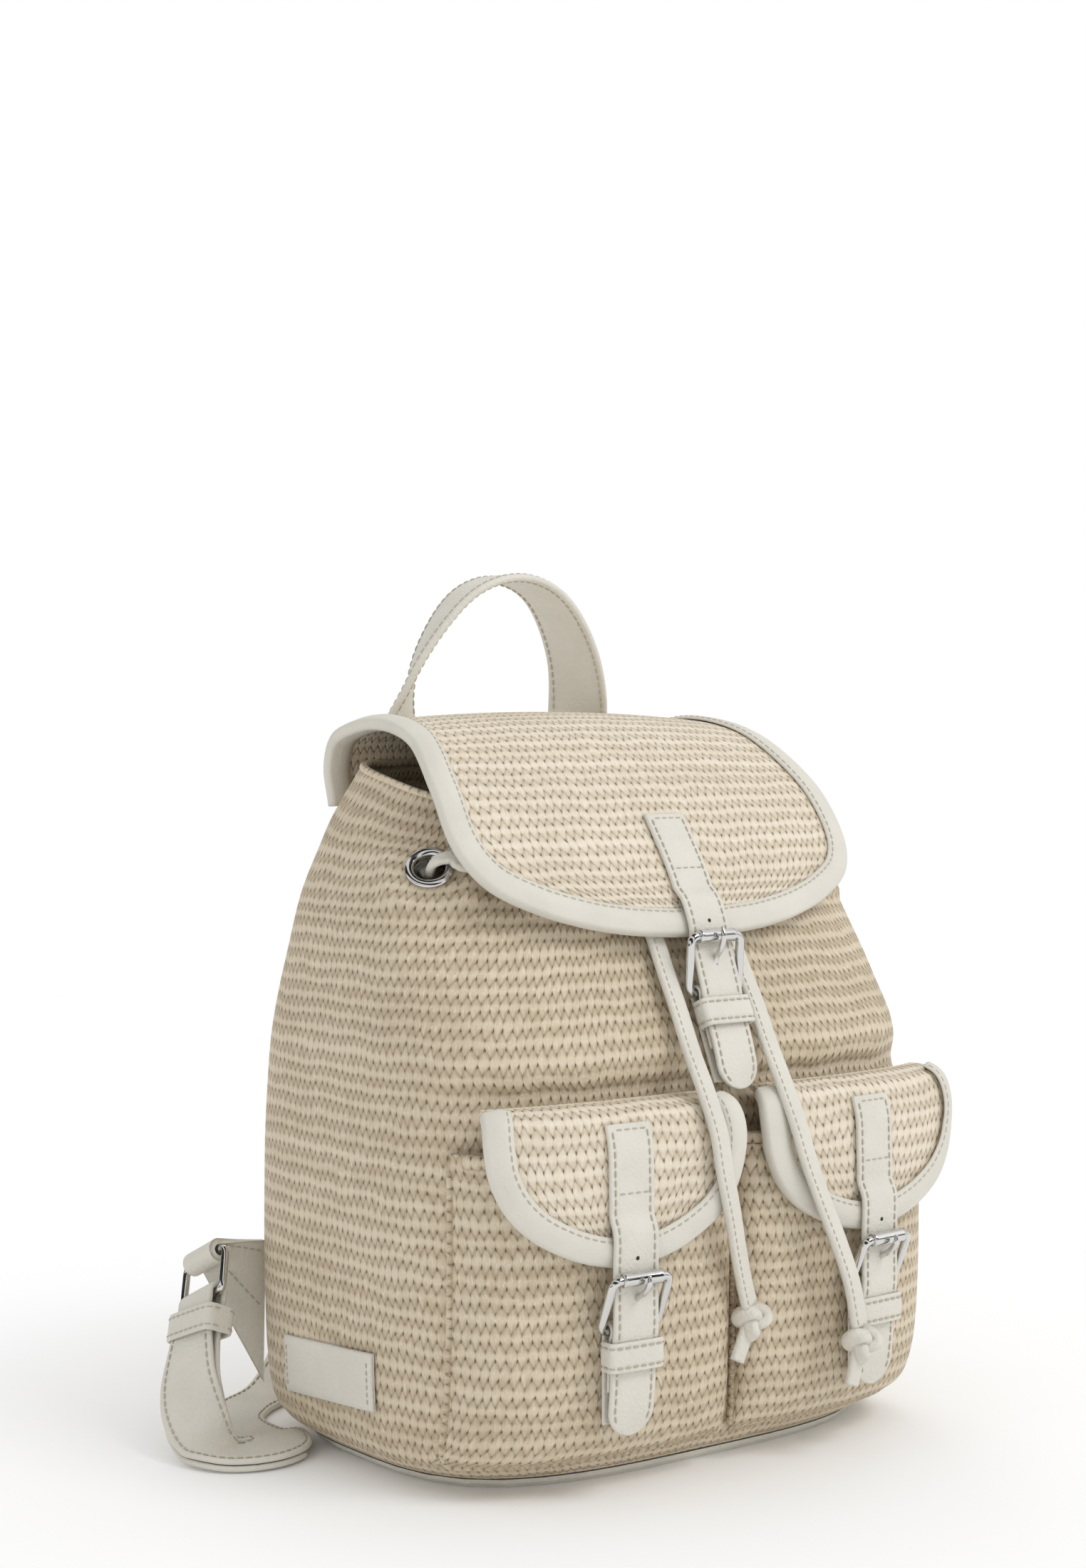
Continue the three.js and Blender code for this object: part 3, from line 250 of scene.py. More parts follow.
def make_object(name: str, points: Array, faces: Array, uv: Array | None, material: Material) -> Object:
    """A smooth mesh object at the origin, in metres.

    Args:
        name: the piece's name.
        points: corner points in millimetres.
        faces: four indices a face; the last one repeats in a triangle.
        uv: a pair of millimetres per point, or None.
        material: the finish.

    Returns:
        The object, linked to the scene.
    """
    mesh = bpy.data.meshes.new(name)
    flat_faces = [tuple(f) if f[2] != f[3] else tuple(f[:3]) for f in np.asarray(faces).tolist()]
    mesh.from_pydata((points * MM).tolist(), [], flat_faces)
    mesh.polygons.foreach_set("use_smooth", [True] * len(mesh.polygons))
    if uv is not None:
        layer = mesh.uv_layers.new(name="cloth")
        loops = np.empty(len(mesh.loops), dtype=np.int32)
        mesh.loops.foreach_get("vertex_index", loops)
        layer.data.foreach_set("uv", uv[loops].astype(np.float32).ravel())
    mesh.materials.append(material)
    mesh.update()
    obj = bpy.data.objects.new(name, mesh)
    bpy.context.collection.objects.link(obj)
    return obj


def grid_faces(rows: int, cols: int, start: int = 0, wrap: bool = False) -> Array:
    """Quads of a grid of points laid out row by row.

    Args:
        rows: number of rows.
        cols: number of points in a row.
        start: number of the first point.
        wrap: whether each row's last point joins its first.

    Returns:
        Four point numbers a quad.
    """
    i, j = np.meshgrid(np.arange(rows - 1), np.arange(cols if wrap else cols - 1), indexing="ij")
    k = (j + 1) % cols
    quad = np.stack([i * cols + j, i * cols + k, (i + 1) * cols + k, (i + 1) * cols + j], axis=-1)
    return quad.reshape(-1, 4) + start


def surface_normals(grid: Array) -> Array:
    """Unit normals of a grid of points, along d/drow x d/dcolumn."""
    return unit(np.cross(np.gradient(grid, axis=0), np.gradient(grid, axis=1)))


def arc_uv(grid: Array) -> Array:
    """Distances in millimetres over a grid of points.

    Args:
        grid: the points, rows by columns.

    Returns:
        Pairs: the run along the middle column, and the mean run from column to column.
    """
    along = run_length(grid[:, grid.shape[1] // 2])
    rises = np.linalg.norm(np.diff(grid, axis=1), axis=2).mean(axis=0)
    return np.stack(np.meshgrid(along, np.concatenate([[0.0], np.cumsum(rises)]), indexing="ij"), axis=-1)


def shell(
    name: str,
    outer: Array,
    inner: Array,
    material: Material,
    keep: Callable[[Array], Array] | None = None,
) -> Object:
    """A closed sheet between two grids of points.

    Args:
        name: the piece's name.
        outer: points of the outer face, rows by columns.
        inner: points of the inner face, in the same layout.
        material: the finish.
        keep: says for the middles of faces which ones stay, or None for all.

    Returns:
        The object.
    """
    rows, cols = outer.shape[:2]
    count = rows * cols
    index = np.arange(count).reshape(rows, cols)
    rim = np.concatenate([index[:, 0], index[-1, 1:], index[-2::-1, -1], index[0, -2:0:-1]])
    following = np.roll(rim, -1)
    points = np.concatenate([outer.reshape(-1, 3), inner.reshape(-1, 3)])
    faces = np.concatenate([
        grid_faces(rows, cols),
        grid_faces(rows, cols, count)[:, ::-1],
        np.stack([following, rim, rim + count, following + count], axis=1),
    ])
    if keep is not None:
        faces = faces[keep(points[faces].mean(axis=1))]
    return make_object(name, points, faces, np.tile(arc_uv(outer).reshape(-1, 2), (2, 1)), material)


def strip_section(width: float, thickness: float, crown: float = 0.0, seam: float = 0.0) -> Array:
    """Section of a strip: two faces that swell as a parabola, joined by half circles.

    Each furrow is a bell curve taken off the faces.

    Args:
        width: of the strip.
        thickness: of the strip.
        crown: how far the middle of each face stands up.
        seam: distance from the edges of the furrows that stitches press in, or 0.

    Returns:
        The pairs across and out, once round.
    """
    radius = thickness / 2
    count = 19
    across = np.linspace(-width / 2 + radius, width / 2 - radius, count)
    swell = crown * (1 - (2 * across / width) ** 2)
    if seam:
        swell = swell - 0.28 * np.exp(-(((np.abs(across) - width / 2 + seam) / 0.55) ** 2))
    top = np.stack([across, radius + swell], axis=1)
    bottom = np.stack([across[::-1], -radius - swell], axis=1)
    edge = radius * turning(np.array([50, 0, -50])) + [across[-1], 0]
    return np.concatenate([top, edge, bottom, -edge])


def narrowed(section: Array, shares: Array) -> Array:
    """The section once for each share, its width times that share."""
    return section[None] * np.stack([shares, np.ones_like(shares)], axis=1)[:, None]


def round_section(radius: float, sides: int = 16) -> Array:
    """Section of a round wire."""
    return radius * turning(np.linspace(0, 360, sides, endpoint=False))


def sweep(name: str, frames: Frames, section: Array, material: Material, closed: bool = False) -> Object:
    """A section carried along frames: each point is the middle plus a share across and a share outwards.

    Args:
        name: the piece's name.
        frames: where the section goes.
        section: pairs across and out, or one such list for each frame.
        material: the finish.
        closed: whether the last frame joins the first; ends are closed with a fan otherwise.

    Returns:
        The object.
    """
    count = len(frames.at)
    section = np.broadcast_to(section, (count, *section.shape[-2:]))
    grid = (
        frames.at[:, None]
        + section[..., :1] * frames.across[:, None]
        + section[..., 1:] * frames.out[:, None]
    )
    sides = section.shape[1]
    points = grid.reshape(-1, 3)
    if closed:
        faces = grid_faces(count + 1, sides, wrap=True) % (count * sides)
    else:
        points = np.concatenate([points, grid[[0, -1]].mean(axis=1)])
        j = np.arange(sides)
        k = (j + 1) % sides
        last, middle = (count - 1) * sides, np.full(sides, count * sides)
        first_cap = np.stack([k, j, middle, middle], axis=1)
        last_cap = np.stack([last + j, last + k, middle + 1, middle + 1], axis=1)
        faces = np.concatenate([grid_faces(count, sides, wrap=True), first_cap, last_cap])
    uv = np.stack(np.meshgrid(run_length(frames.at), run_length(section[0]), indexing="ij"), axis=-1).reshape(-1, 2)
    if not closed:
        uv = np.concatenate([uv, np.zeros((2, 2))])
    return make_object(name, points, faces, uv, material)


@dataclass
class Thread:
    """Stitches of one piece, gathered into a single mesh of short rounded dashes."""

    pitch: float = 3.3
    length: float = 2.4
    radius: float = 0.36
    dashes: list[tuple[Array, Array]] = field(default_factory=list)

    def line(self, points: Array, closed: bool = False) -> None:
        """Adds a row of stitches, one at each pitch along a line.

        Args:
            points: the line.
            closed: whether the line joins itself.
        """
        if closed:
            points = np.vstack([points, points[:1]])
        length = run_length(points)
        starts = np.arange(self.pitch * 0.4, length[-1] - self.length, self.pitch)
        self.dashes.append((columns_at(starts, length, points), columns_at(starts + self.length, length, points)))

    def cross(self, frames: Frames, index: int, reach: float, lift: float) -> None:
        """Adds a short row across a strip at one of its frames, to a reach on both sides and at a lift outwards."""
        span = np.linspace(-reach, reach, 8)[:, None]
        self.line(frames.at[index] + span * frames.across[index] + lift * frames.out[index])

    def make(self, name: str, material: Material, side: Side = Side.LEFT) -> Object:
        """Makes the stitches: each is a spindle of five six-sided rings, thinner at both ends.

        Args:
            name: the object's name.
            material: the finish.
            side: the side that they are carried over to.

        Returns:
            All stitches as one object.
        """
        stations = np.array([0.0, 0.2, 0.5, 0.8, 1.0])
        swell = self.radius * np.array([0.35, 0.9, 1.0, 0.9, 0.35])
        ring = round_section(1.0, 6)
        a, b = (np.concatenate(ends) for ends in zip(*self.dashes))
        tangent = unit(b - a)
        helper = np.where(np.abs(tangent[:, 2:]) < 0.9, vec(0, 0, 1), vec(1, 0, 0))
        x = unit(np.cross(tangent, helper))
        y = np.cross(tangent, x)
        spokes = ring[None, :, :1] * x[:, None] + ring[None, :, 1:] * y[:, None]
        middles = a[:, None] + (b - a)[:, None] * stations[None, :, None]
        points = middles[:, :, None] + swell[None, :, None, None] * spokes[:, None]
        count = len(stations) * len(ring)
        faces = grid_faces(len(stations), len(ring), wrap=True)[None] + count * np.arange(len(a))[:, None, None]
        return make_object(name, mirrored(points.reshape(-1, 3), side), faces.reshape(-1, 4), None, material)


# ---- Finishes


class Nodes:
    """Short way to build a tree of shader nodes."""

    def __init__(self, tree: NodeTree) -> None:
        """Starts on a tree."""
        self.tree = tree

    def add(self, kind: str, **settings: object) -> Node:
        """A new node.

        Args:
            kind: its Blender type.
            **settings: values for its properties.

        Returns:
            The node.
        """
        node = self.tree.nodes.new(kind)
        for key, value in settings.items():
            setattr(node, key, value)
        return node

    def put(self, socket: Socket, value: object) -> None:
        """Sets or links an input.

        Args:
            socket: the input.
            value: a number, a colour, or another node's output.
        """
        if isinstance(value, Socket):
            self.tree.links.new(value, socket)
        else:
            socket.default_value = value

    def math(self, operation: str, *values: object) -> Socket:
        """One arithmetic step.

        Args:
            operation: Blender's name of it.
            *values: numbers or outputs.

        Returns:
            The result.
        """
        node = self.add("ShaderNodeMath", operation=operation)
        for socket, value in zip(node.inputs, values):
            self.put(socket, value)
        return node.outputs[0]

    def total(self, *terms: object) -> Socket:
        """A weighted sum.

        Args:
            *terms: outputs, or pairs of an output and its weight.

        Returns:
            The sum.
        """
        parts = [self.math("MULTIPLY", *term) if isinstance(term, tuple) else term for term in terms]
        result = parts[0]
        for part in parts[1:]:
            result = self.math("ADD", result, part)
        return result

    def noise(self, vector: object, scale: float, detail: float = 3.0) -> Socket:
        """Soft noise.

        Args:
            vector: where it is read.
            scale: of its largest swells.
            detail: number of finer layers.

        Returns:
            A value between 0 and 1.
        """
        node = self.add("ShaderNodeTexNoise")
        for key, value in (("Vector", vector), ("Scale", scale), ("Detail", detail)):
            self.put(node.inputs[key], value)
        return node.outputs["Fac"]

    def ramp(
        self, value: object, low: float, high: float, out_low: object = 0.0, out_high: object = 1.0
    ) -> Socket:
        """A value carried smoothly from one range to another.

        Args:
            value: the value.
            low: start of its range.
            high: end of its range.
            out_low: result at low and below.
            out_high: result at high and above.

        Returns:
            The result.
        """
        node = self.add("ShaderNodeMapRange", interpolation_type="SMOOTHSTEP")
        keys = ("Value", "From Min", "From Max", "To Min", "To Max")
        for key, item in zip(keys, (value, low, high, out_low, out_high)):
            self.put(node.inputs[key], item)
        return node.outputs[0]

    def mix(self, share: object, a: object, b: object) -> Socket:
        """Two colours mixed.

        Args:
            share: 0 for the first colour, 1 for the second.
            a: the first colour.
            b: the second colour.

        Returns:
            The mixed colour.
        """
        node = self.add("ShaderNodeMix", data_type="RGBA")
        for index, value in ((0, share), (6, a), (7, b)):
            self.put(node.inputs[index], value)
        return node.outputs[2]

    def bump(self, height: object, distance: object, strength: float, normal: object = None) -> Socket:
        """Normals of a relief.

        Args:
            height: the relief, as a share of distance.
            distance: how deep it is, in metres.
            strength: how much of it shows.
            normal: normals that it starts from, or None for the surface's own.

        Returns:
            The normals.
        """
        node = self.add("ShaderNodeBump")
        for key, value in (("Strength", strength), ("Distance", distance), ("Height", height), ("Normal", normal)):
            if value is not None:
                self.put(node.inputs[key], value)
        return node.outputs[0]

    def effect(self, tree: NodeTree, shader: Node, **values: object) -> None:
        """Places a group that gives a surface its colour, roughness and normals.

        Args:
            tree: the group.
            shader: the surface's shader.
            **values: a value for each of the group's inputs.
        """
        group = self.add("ShaderNodeGroup", node_tree=tree)
        for key, value in values.items():
            self.put(group.inputs[key], value)
        for output, socket in (("Colour", "Base Color"), ("Roughness", "Roughness"), ("Normal", "Normal")):
            self.put(shader.inputs[socket], group.outputs[output])


def rgb(r: float, g: float, b: float) -> tuple[float, float, float, float]:
    """A colour from 0-255 values as they look on a screen, made linear."""
    linear = [(c / 255 / 12.92) if c / 255 <= 0.04045 else ((c / 255 + 0.055) / 1.055) ** 2.4 for c in (r, g, b)]
    return (*linear, 1.0)


def new_material(name: str) -> tuple[Material, Nodes, Node]:
    """An empty material.

    Args:
        name: the material's name.

    Returns:
        The material, the builder of its nodes and its surface shader.
    """
    material = bpy.data.materials.new(name)
    material.use_nodes = True
    return material, Nodes(material.node_tree), material.node_tree.nodes["Principled BSDF"]


def effect_group(name: str, **inputs: str) -> tuple[Nodes, Mapping[str, Socket], Node]:
    """An empty group for an effect that several finishes share.

    Args:
        name: the group's name.
        **inputs: name and kind of each input.

    Returns:
        The builder of its nodes, its inputs as sockets to read, and its output node.
    """
    tree = bpy.data.node_groups.new(name, "ShaderNodeTree")
    for key, kind in inputs.items():
        tree.interface.new_socket(key, in_out="INPUT", socket_type=f"NodeSocket{kind}")
    for key, kind in (("Colour", "Color"), ("Roughness", "Float"), ("Normal", "Vector")):
        tree.interface.new_socket(key, in_out="OUTPUT", socket_type=f"NodeSocket{kind}")
    nodes = Nodes(tree)
    return nodes, nodes.add("NodeGroupInput").outputs, nodes.add("NodeGroupOutput")


def weave_group() -> NodeTree:
    """The weave of the straw cloth, made once.

    A zigzag line, a triangle wave along the row, runs between each two rows of smooth ribs. A rib rises with its
    distance from that line, and the line is a groove. Painted shade darkens the groove, the ribs' flanks and small
    pits at the zigzag's tips, darkest at the upper ones, and a painted highlight lies on pale fibres on the rib crests.
    Noise drawn out along the strands gives the fibres. Every second row is moved on by half a pitch.

    Returns:
        The group. Its inputs are the place in millimetres, three colours, and the zigzag's pitch, row height and
        swing as a share of a row.
    """
    if "straw_weave" in bpy.data.node_groups:
        return bpy.data.node_groups["straw_weave"]
    n, given, out = effect_group(
        "straw_weave", Place="Vector", Light="Color", Deep="Color", Shade="Color",
        Pitch="Float", Row="Float", Swing="Float",
    )
    wander = n.add("ShaderNodeTexNoise", noise_dimensions="2D")
    for key, value in (("Vector", given["Place"]), ("Scale", 0.06), ("Detail", 3.0)):
        n.put(wander.inputs[key], value)
    split = n.add("ShaderNodeSeparateXYZ")
    n.put(split.inputs[0], given["Place"])
    off = n.add("ShaderNodeSeparateColor")
    n.put(off.inputs[0], wander.outputs["Color"])
    x = n.math("DIVIDE", n.total(split.outputs[0], (off.outputs[0], 4.0)), given["Pitch"])
    y = n.math("DIVIDE", n.total(split.outputs[1], (off.outputs[1], 3.6)), given["Row"])
    line = n.math("ROUND", y)
    place = n.math("FRACT", n.total(x, (line, 0.5)))
    wave = n.math("SUBTRACT", n.math("MULTIPLY", n.math("ABSOLUTE", n.math("SUBTRACT", place, 0.5)), 4.0), 1.0)
    cell = n.add("ShaderNodeCombineXYZ")
    n.put(cell.inputs[0], n.math("FLOOR", n.total((x, 2.0), line)))
    n.put(cell.inputs[1], line)
    dice = n.add("ShaderNodeTexWhiteNoise", noise_dimensions="2D")
    n.put(dice.inputs["Vector"], cell.outputs[0])
    chance = dice.outputs["Value"]
    swing = n.math("MULTIPLY", given["Swing"], n.math("ADD", 0.8, n.math("MULTIPLY", chance, 0.4)))
    level = n.math("SUBTRACT", y, line)
    away = n.math("ABSOLUTE", n.math("SUBTRACT", level, n.math("MULTIPLY", wave, swing)))
    groove = n.ramp(away, 0.0, 0.085, 1.0, 0.0)
    tip = n.ramp(n.math("ABSOLUTE", wave), 0.45, 0.95)
    upper = n.ramp(wave, -0.2, 0.4, 0.45, 1.0)
    # knot marks small pits at the zigzag's tips, sunk in the bump; their dark brown colour is painted shade, strongest
    # at the upper tips
    knot = n.math("MULTIPLY", n.math("MULTIPLY", n.ramp(away, 0.0, 0.16, 1.0, 0.0), tip), upper)
    band = n.ramp(n.math("ABSOLUTE", level), 0.12, 0.42)
    rib = n.total((n.ramp(away, 0.0, 0.36), 0.5), (band, 0.5))
    slant = n.math("MULTIPLY", n.math("MULTIPLY", wave, n.math("SUBTRACT", 1.0, rib)), 0.35)
    strands = n.add("ShaderNodeCombineXYZ")
    n.put(strands.inputs[0], n.total((n.math("ADD", x, slant), 5.5), (line, 17.0)))
    n.put(strands.inputs[1], n.math("MULTIPLY", y, 0.9))
    fibre = n.noise(strands.outputs[0], 1.0, 3.0)
    hair = n.noise(strands.outputs[0], 3.1, 2.0)
    broad = n.noise(given["Place"], 0.02, 2.0)
    by_row = n.add("ShaderNodeTexWhiteNoise", noise_dimensions="1D")
    n.put(by_row.inputs["W"], n.math("ROUND", n.math("ADD", y, 0.5)))
    # the rib term is painted light: it lightens the rib crests and darkens their flanks; fibre, broad, by_row and
    # chance are the straw's own tone
    tone = n.total((fibre, 0.5), (rib, 0.22), (broad, 0.18), (by_row.outputs["Value"], 0.1), (chance, 0.08))
    straw = n.mix(n.ramp(tone, 0.35, 0.8), given["Deep"], given["Light"])
    # painted shade: the groove darkens toward the Shade colour, most near the zigzag's tips
    straw = n.mix(n.math("MULTIPLY", groove, n.math("ADD", 0.14, n.math("MULTIPLY", tip, 0.3))), straw, given["Shade"])
    # painted shade: the pits at the zigzag's tips drawn dark brown
    straw = n.mix(n.math("MULTIPLY", knot, 0.85), straw, rgb(104, 82, 52))
    # pale fibre streaks on the rib crests: partly the straw's own pale fibres, partly a painted highlight
    pale = n.math("MULTIPLY", n.math("GREATER_THAN", fibre, 0.66), n.math("MULTIPLY", rib, 0.35))
    n.put(out.inputs["Colour"], n.mix(pale, straw, rgb(244, 236, 220)))
    n.put(out.inputs["Roughness"], n.ramp(fibre, 0.3, 0.7, 0.45, 0.62))
    height = n.total((rib, 0.8), (fibre, 0.34), (hair, 0.12), (knot, -0.7), (groove, -0.18))
    n.put(out.inputs["Normal"], n.bump(height, 0.0011, 0.75))
    return n.tree


def grain_group() -> NodeTree:
    """The pebbled grain of the leather, made once.

    Rounded Voronoi cells stand up as pebbles, fine noise adds creases, and broad noise gives soft swells and a
    slight change of tone that darkens their deeper parts: painted shade.

    Returns:
        The group. Its inputs are the place in metres, two colours, the pebbles per metre, their depth in metres
        and the roughness on their tops.
    """
    if "leather_grain" in bpy.data.node_groups:
        return bpy.data.node_groups["leather_grain"]
    n, given, out = effect_group(
        "leather_grain", Place="Vector", Light="Color", Deep="Color", Pebbles="Float", Depth="Float", Smooth="Float"
    )
    cells = n.add("ShaderNodeTexVoronoi", feature="SMOOTH_F1")
    for key, value in (("Vector", given["Place"]), ("Scale", given["Pebbles"]), ("Smoothness", 0.35)):
        n.put(cells.inputs[key], value)
    grain = n.math("SUBTRACT", 1.0, cells.outputs["Distance"])
    broad = n.noise(given["Place"], 55.0)
    creases = n.noise(given["Place"], 420.0)
    # painted shade: the colour goes toward Deep in the deeper swells
    n.put(out.inputs["Colour"], n.mix(n.ramp(broad, 0.3, 0.7), given["Deep"], given["Light"]))
    rough = n.ramp(grain, 0.3, 0.9, n.math("ADD", given["Smooth"], 0.1), given["Smooth"])
    n.put(out.inputs["Roughness"], rough)
    height = n.total((grain, 0.8), (creases, 0.5))
    n.put(out.inputs["Normal"], n.bump(height, given["Depth"], 0.8, n.bump(broad, 0.0012, 0.5)))
    return n.tree


@dataclass(frozen=True)
class Weave:
    """Straw cloth: smooth ribs side by side, with a zigzag of crossing fibres between each two."""

    name: str
    light: tuple[float, float, float]
    deep: tuple[float, float, float]
    pitch: float = 3.75
    row: float = 6.4
    swing: float = 0.25  # height of the zigzag, as a share of a row
    shade: float = 0.6  # of the deep colour, in the grooves

    def make(self) -> Material:
        """The finish as a material.

        Returns:
            The material, which reads millimetres from the piece's own map.
        """
        material, n, shader = new_material(self.name)
        place = n.add("ShaderNodeUVMap", uv_map="cloth").outputs[0]
        # painted shade for the grooves: the deep colour darkened
        groove = rgb(*[c * self.shade for c in self.deep])
        colours = {"Light": rgb(*self.light), "Deep": rgb(*self.deep), "Shade": groove}
        n.effect(weave_group(), shader, Place=place, Pitch=self.pitch, Row=self.row, Swing=self.swing, **colours)
        shader.inputs["Specular IOR Level"].default_value = 0.4
        return material


@dataclass(frozen=True)
class Leather:
    """Soft leather with a pebbled grain."""

    name: str
    colour: tuple[float, float, float]
    grain: float = 900.0  # pebbles per metre
    depth: float = 0.0003
    roughness: float = 0.5
    shade: float = 0.975  # of the colour, in the deeper swells

    def make(self) -> Material:
        """The finish as a material.

        Returns:
            The material, which reads the object's own space.
        """
        material, n, shader = new_material(self.name)
        place = n.add("ShaderNodeTexCoord").outputs["Object"]
        # Deep is the colour in painted shade, for the deeper swells
        colours = {"Light": rgb(*self.colour), "Deep": rgb(*[c * self.shade for c in self.colour])}
        values = {"Pebbles": self.grain, "Depth": self.depth, "Smooth": self.roughness}
        n.effect(grain_group(), shader, Place=place, **values, **colours)
        shader.inputs["Specular IOR Level"].default_value = 0.4
        return material


@dataclass(frozen=True)
class Metal:
    """Polished plated metal."""

    name: str
    colour: tuple[float, float, float]
    roughness: float

    def make(self) -> Material:
        """The finish as a material.

        Returns:
            The material, with fine scuffs in its gloss.
        """
        material, n, shader = new_material(self.name)
        place = n.add("ShaderNodeTexCoord").outputs["Object"]
        scuffs = n.noise(place, 900.0, 4.0)
        shader.inputs["Base Color"].default_value = rgb(*self.colour)
        shader.inputs["Metallic"].default_value = 1.0
        n.put(shader.inputs["Roughness"], n.ramp(scuffs, 0.3, 0.8, self.roughness, self.roughness + 0.08))
        return material


@dataclass(frozen=True)
class Plain:
    """A matt finish of one colour, for thread and for the painted shade in a punched hole."""

    name: str
    colour: tuple[float, float, float]
    roughness: float = 0.8

    def make(self) -> Material:
        """The finish as a material.

        Returns:
            The material.
        """
        material, _, shader = new_material(self.name)
        shader.inputs["Base Color"].default_value = rgb(*self.colour)
        shader.inputs["Roughness"].default_value = self.roughness
        return material


@dataclass(frozen=True)
class Paper:
    """White paper that grows as bright as the background with its distance from the bag."""

    name: str
    near: float
    far: float

    def make(self) -> Material:
        """The finish as a material, which fades from paper to plain light with the distance from the middle.

        Returns:
            The material.
        """
        material, n, shader = new_material(self.name)
        shader.inputs["Base Color"].default_value = (0.97, 0.97, 0.97, 1)
        shader.inputs["Roughness"].default_value = 0.9
        shader.inputs["Specular IOR Level"].default_value = 0.1
        length = n.add("ShaderNodeVectorMath", operation="LENGTH")
        n.put(length.inputs[0], n.add("ShaderNodeTexCoord").outputs["Object"])
        glow = n.add("ShaderNodeEmission")
        mix = n.add("ShaderNodeMixShader")
        n.put(mix.inputs[0], n.ramp(length.outputs["Value"], self.near, self.far))
        n.put(mix.inputs[1], shader.outputs[0])
        n.put(mix.inputs[2], glow.outputs[0])
        n.put(material.node_tree.nodes["Material Output"].inputs[0], mix.outputs[0])
        return material


class Finish(Enum):
    """The finishes of the bag."""

    STRAW = Weave("straw_body", (222, 208, 184), (190, 173, 145))
    STRAW_FLAP = Weave("straw_flap", (236, 225, 206), (212, 198, 174))
    LEATHER = Leather("leather_offwhite", (219, 215, 204))
    EDGE = Leather("leather_edging", (217, 213, 202), grain=1100.0, depth=0.00014)
    THREAD = Plain("thread", (184, 177, 160), 0.7)
    # painted shade: the dark disc that stands for the shade inside a punched hole
    HOLE = Plain("punched_hole", (60, 56, 48), 0.9)
    METAL = Metal("metal_polished", (214, 213, 211), 0.09)
    FLOOR = Paper("floor", 0.1, 0.42)

    @property
    def material(self) -> Material:
        """The material, made once."""
        return bpy.data.materials.get(self.value.name) or self.value.make()

    @property
    def slot(self) -> str:
        """The slot that the finish belongs to.

        Returns:
            The slot's name.
        """
        if isinstance(self.value, Weave):
            return "straw"
        return "metal" if isinstance(self.value, Metal) else "leather"


def seat(obj: Object, finish: Finish, *nodes: str) -> Object:
    """Puts a piece on the bag's body and says what it stands for.

    Args:
        obj: the piece.
        finish: its finish; not used.
        nodes: the CAD nodes that it takes the place of.

    Returns:
        The piece.
    """
    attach(obj, ROOT)
    if nodes:
        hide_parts(*nodes)
    LOG.info("%s stands for %s", obj.name, ", ".join(nodes) or "detail")
    return obj


def lay_strip(
    name: str, frames: Frames, section: Array, finish: Finish, closed: bool = False, detail: bool = False
) -> Object:
    """Sweeps a section along frames and seats the piece.

    Args:
        name: the finish in a word, and then the CAD node that the piece stands for.
        frames: where the section goes.
        section: pairs across and out.
        finish: its finish.
        closed: whether the last frame joins the first.
        detail: whether the piece stands for no node.

    Returns:
        The piece.
    """
    nodes = () if detail else (name.partition("_")[2],)
    return seat(sweep(name, frames, section, finish.material, closed), finish, *nodes)


def lay_sheet(name: str, outer: Array, inner: Array, finish: Finish) -> Object:
    """Makes a sheet between two grids of points and seats it, with a name as for lay_strip."""
    return seat(shell(name, outer, inner, finish.material), finish, name.partition("_")[2])


def sew(thread: Thread, name: str, side: Side = Side.LEFT) -> Object:
    """Makes the stitches gathered in a thread and seats them."""
    return seat(thread.make(name, Finish.THREAD.material, side), Finish.THREAD)


# ---- The bag's shape, as in the CAD source


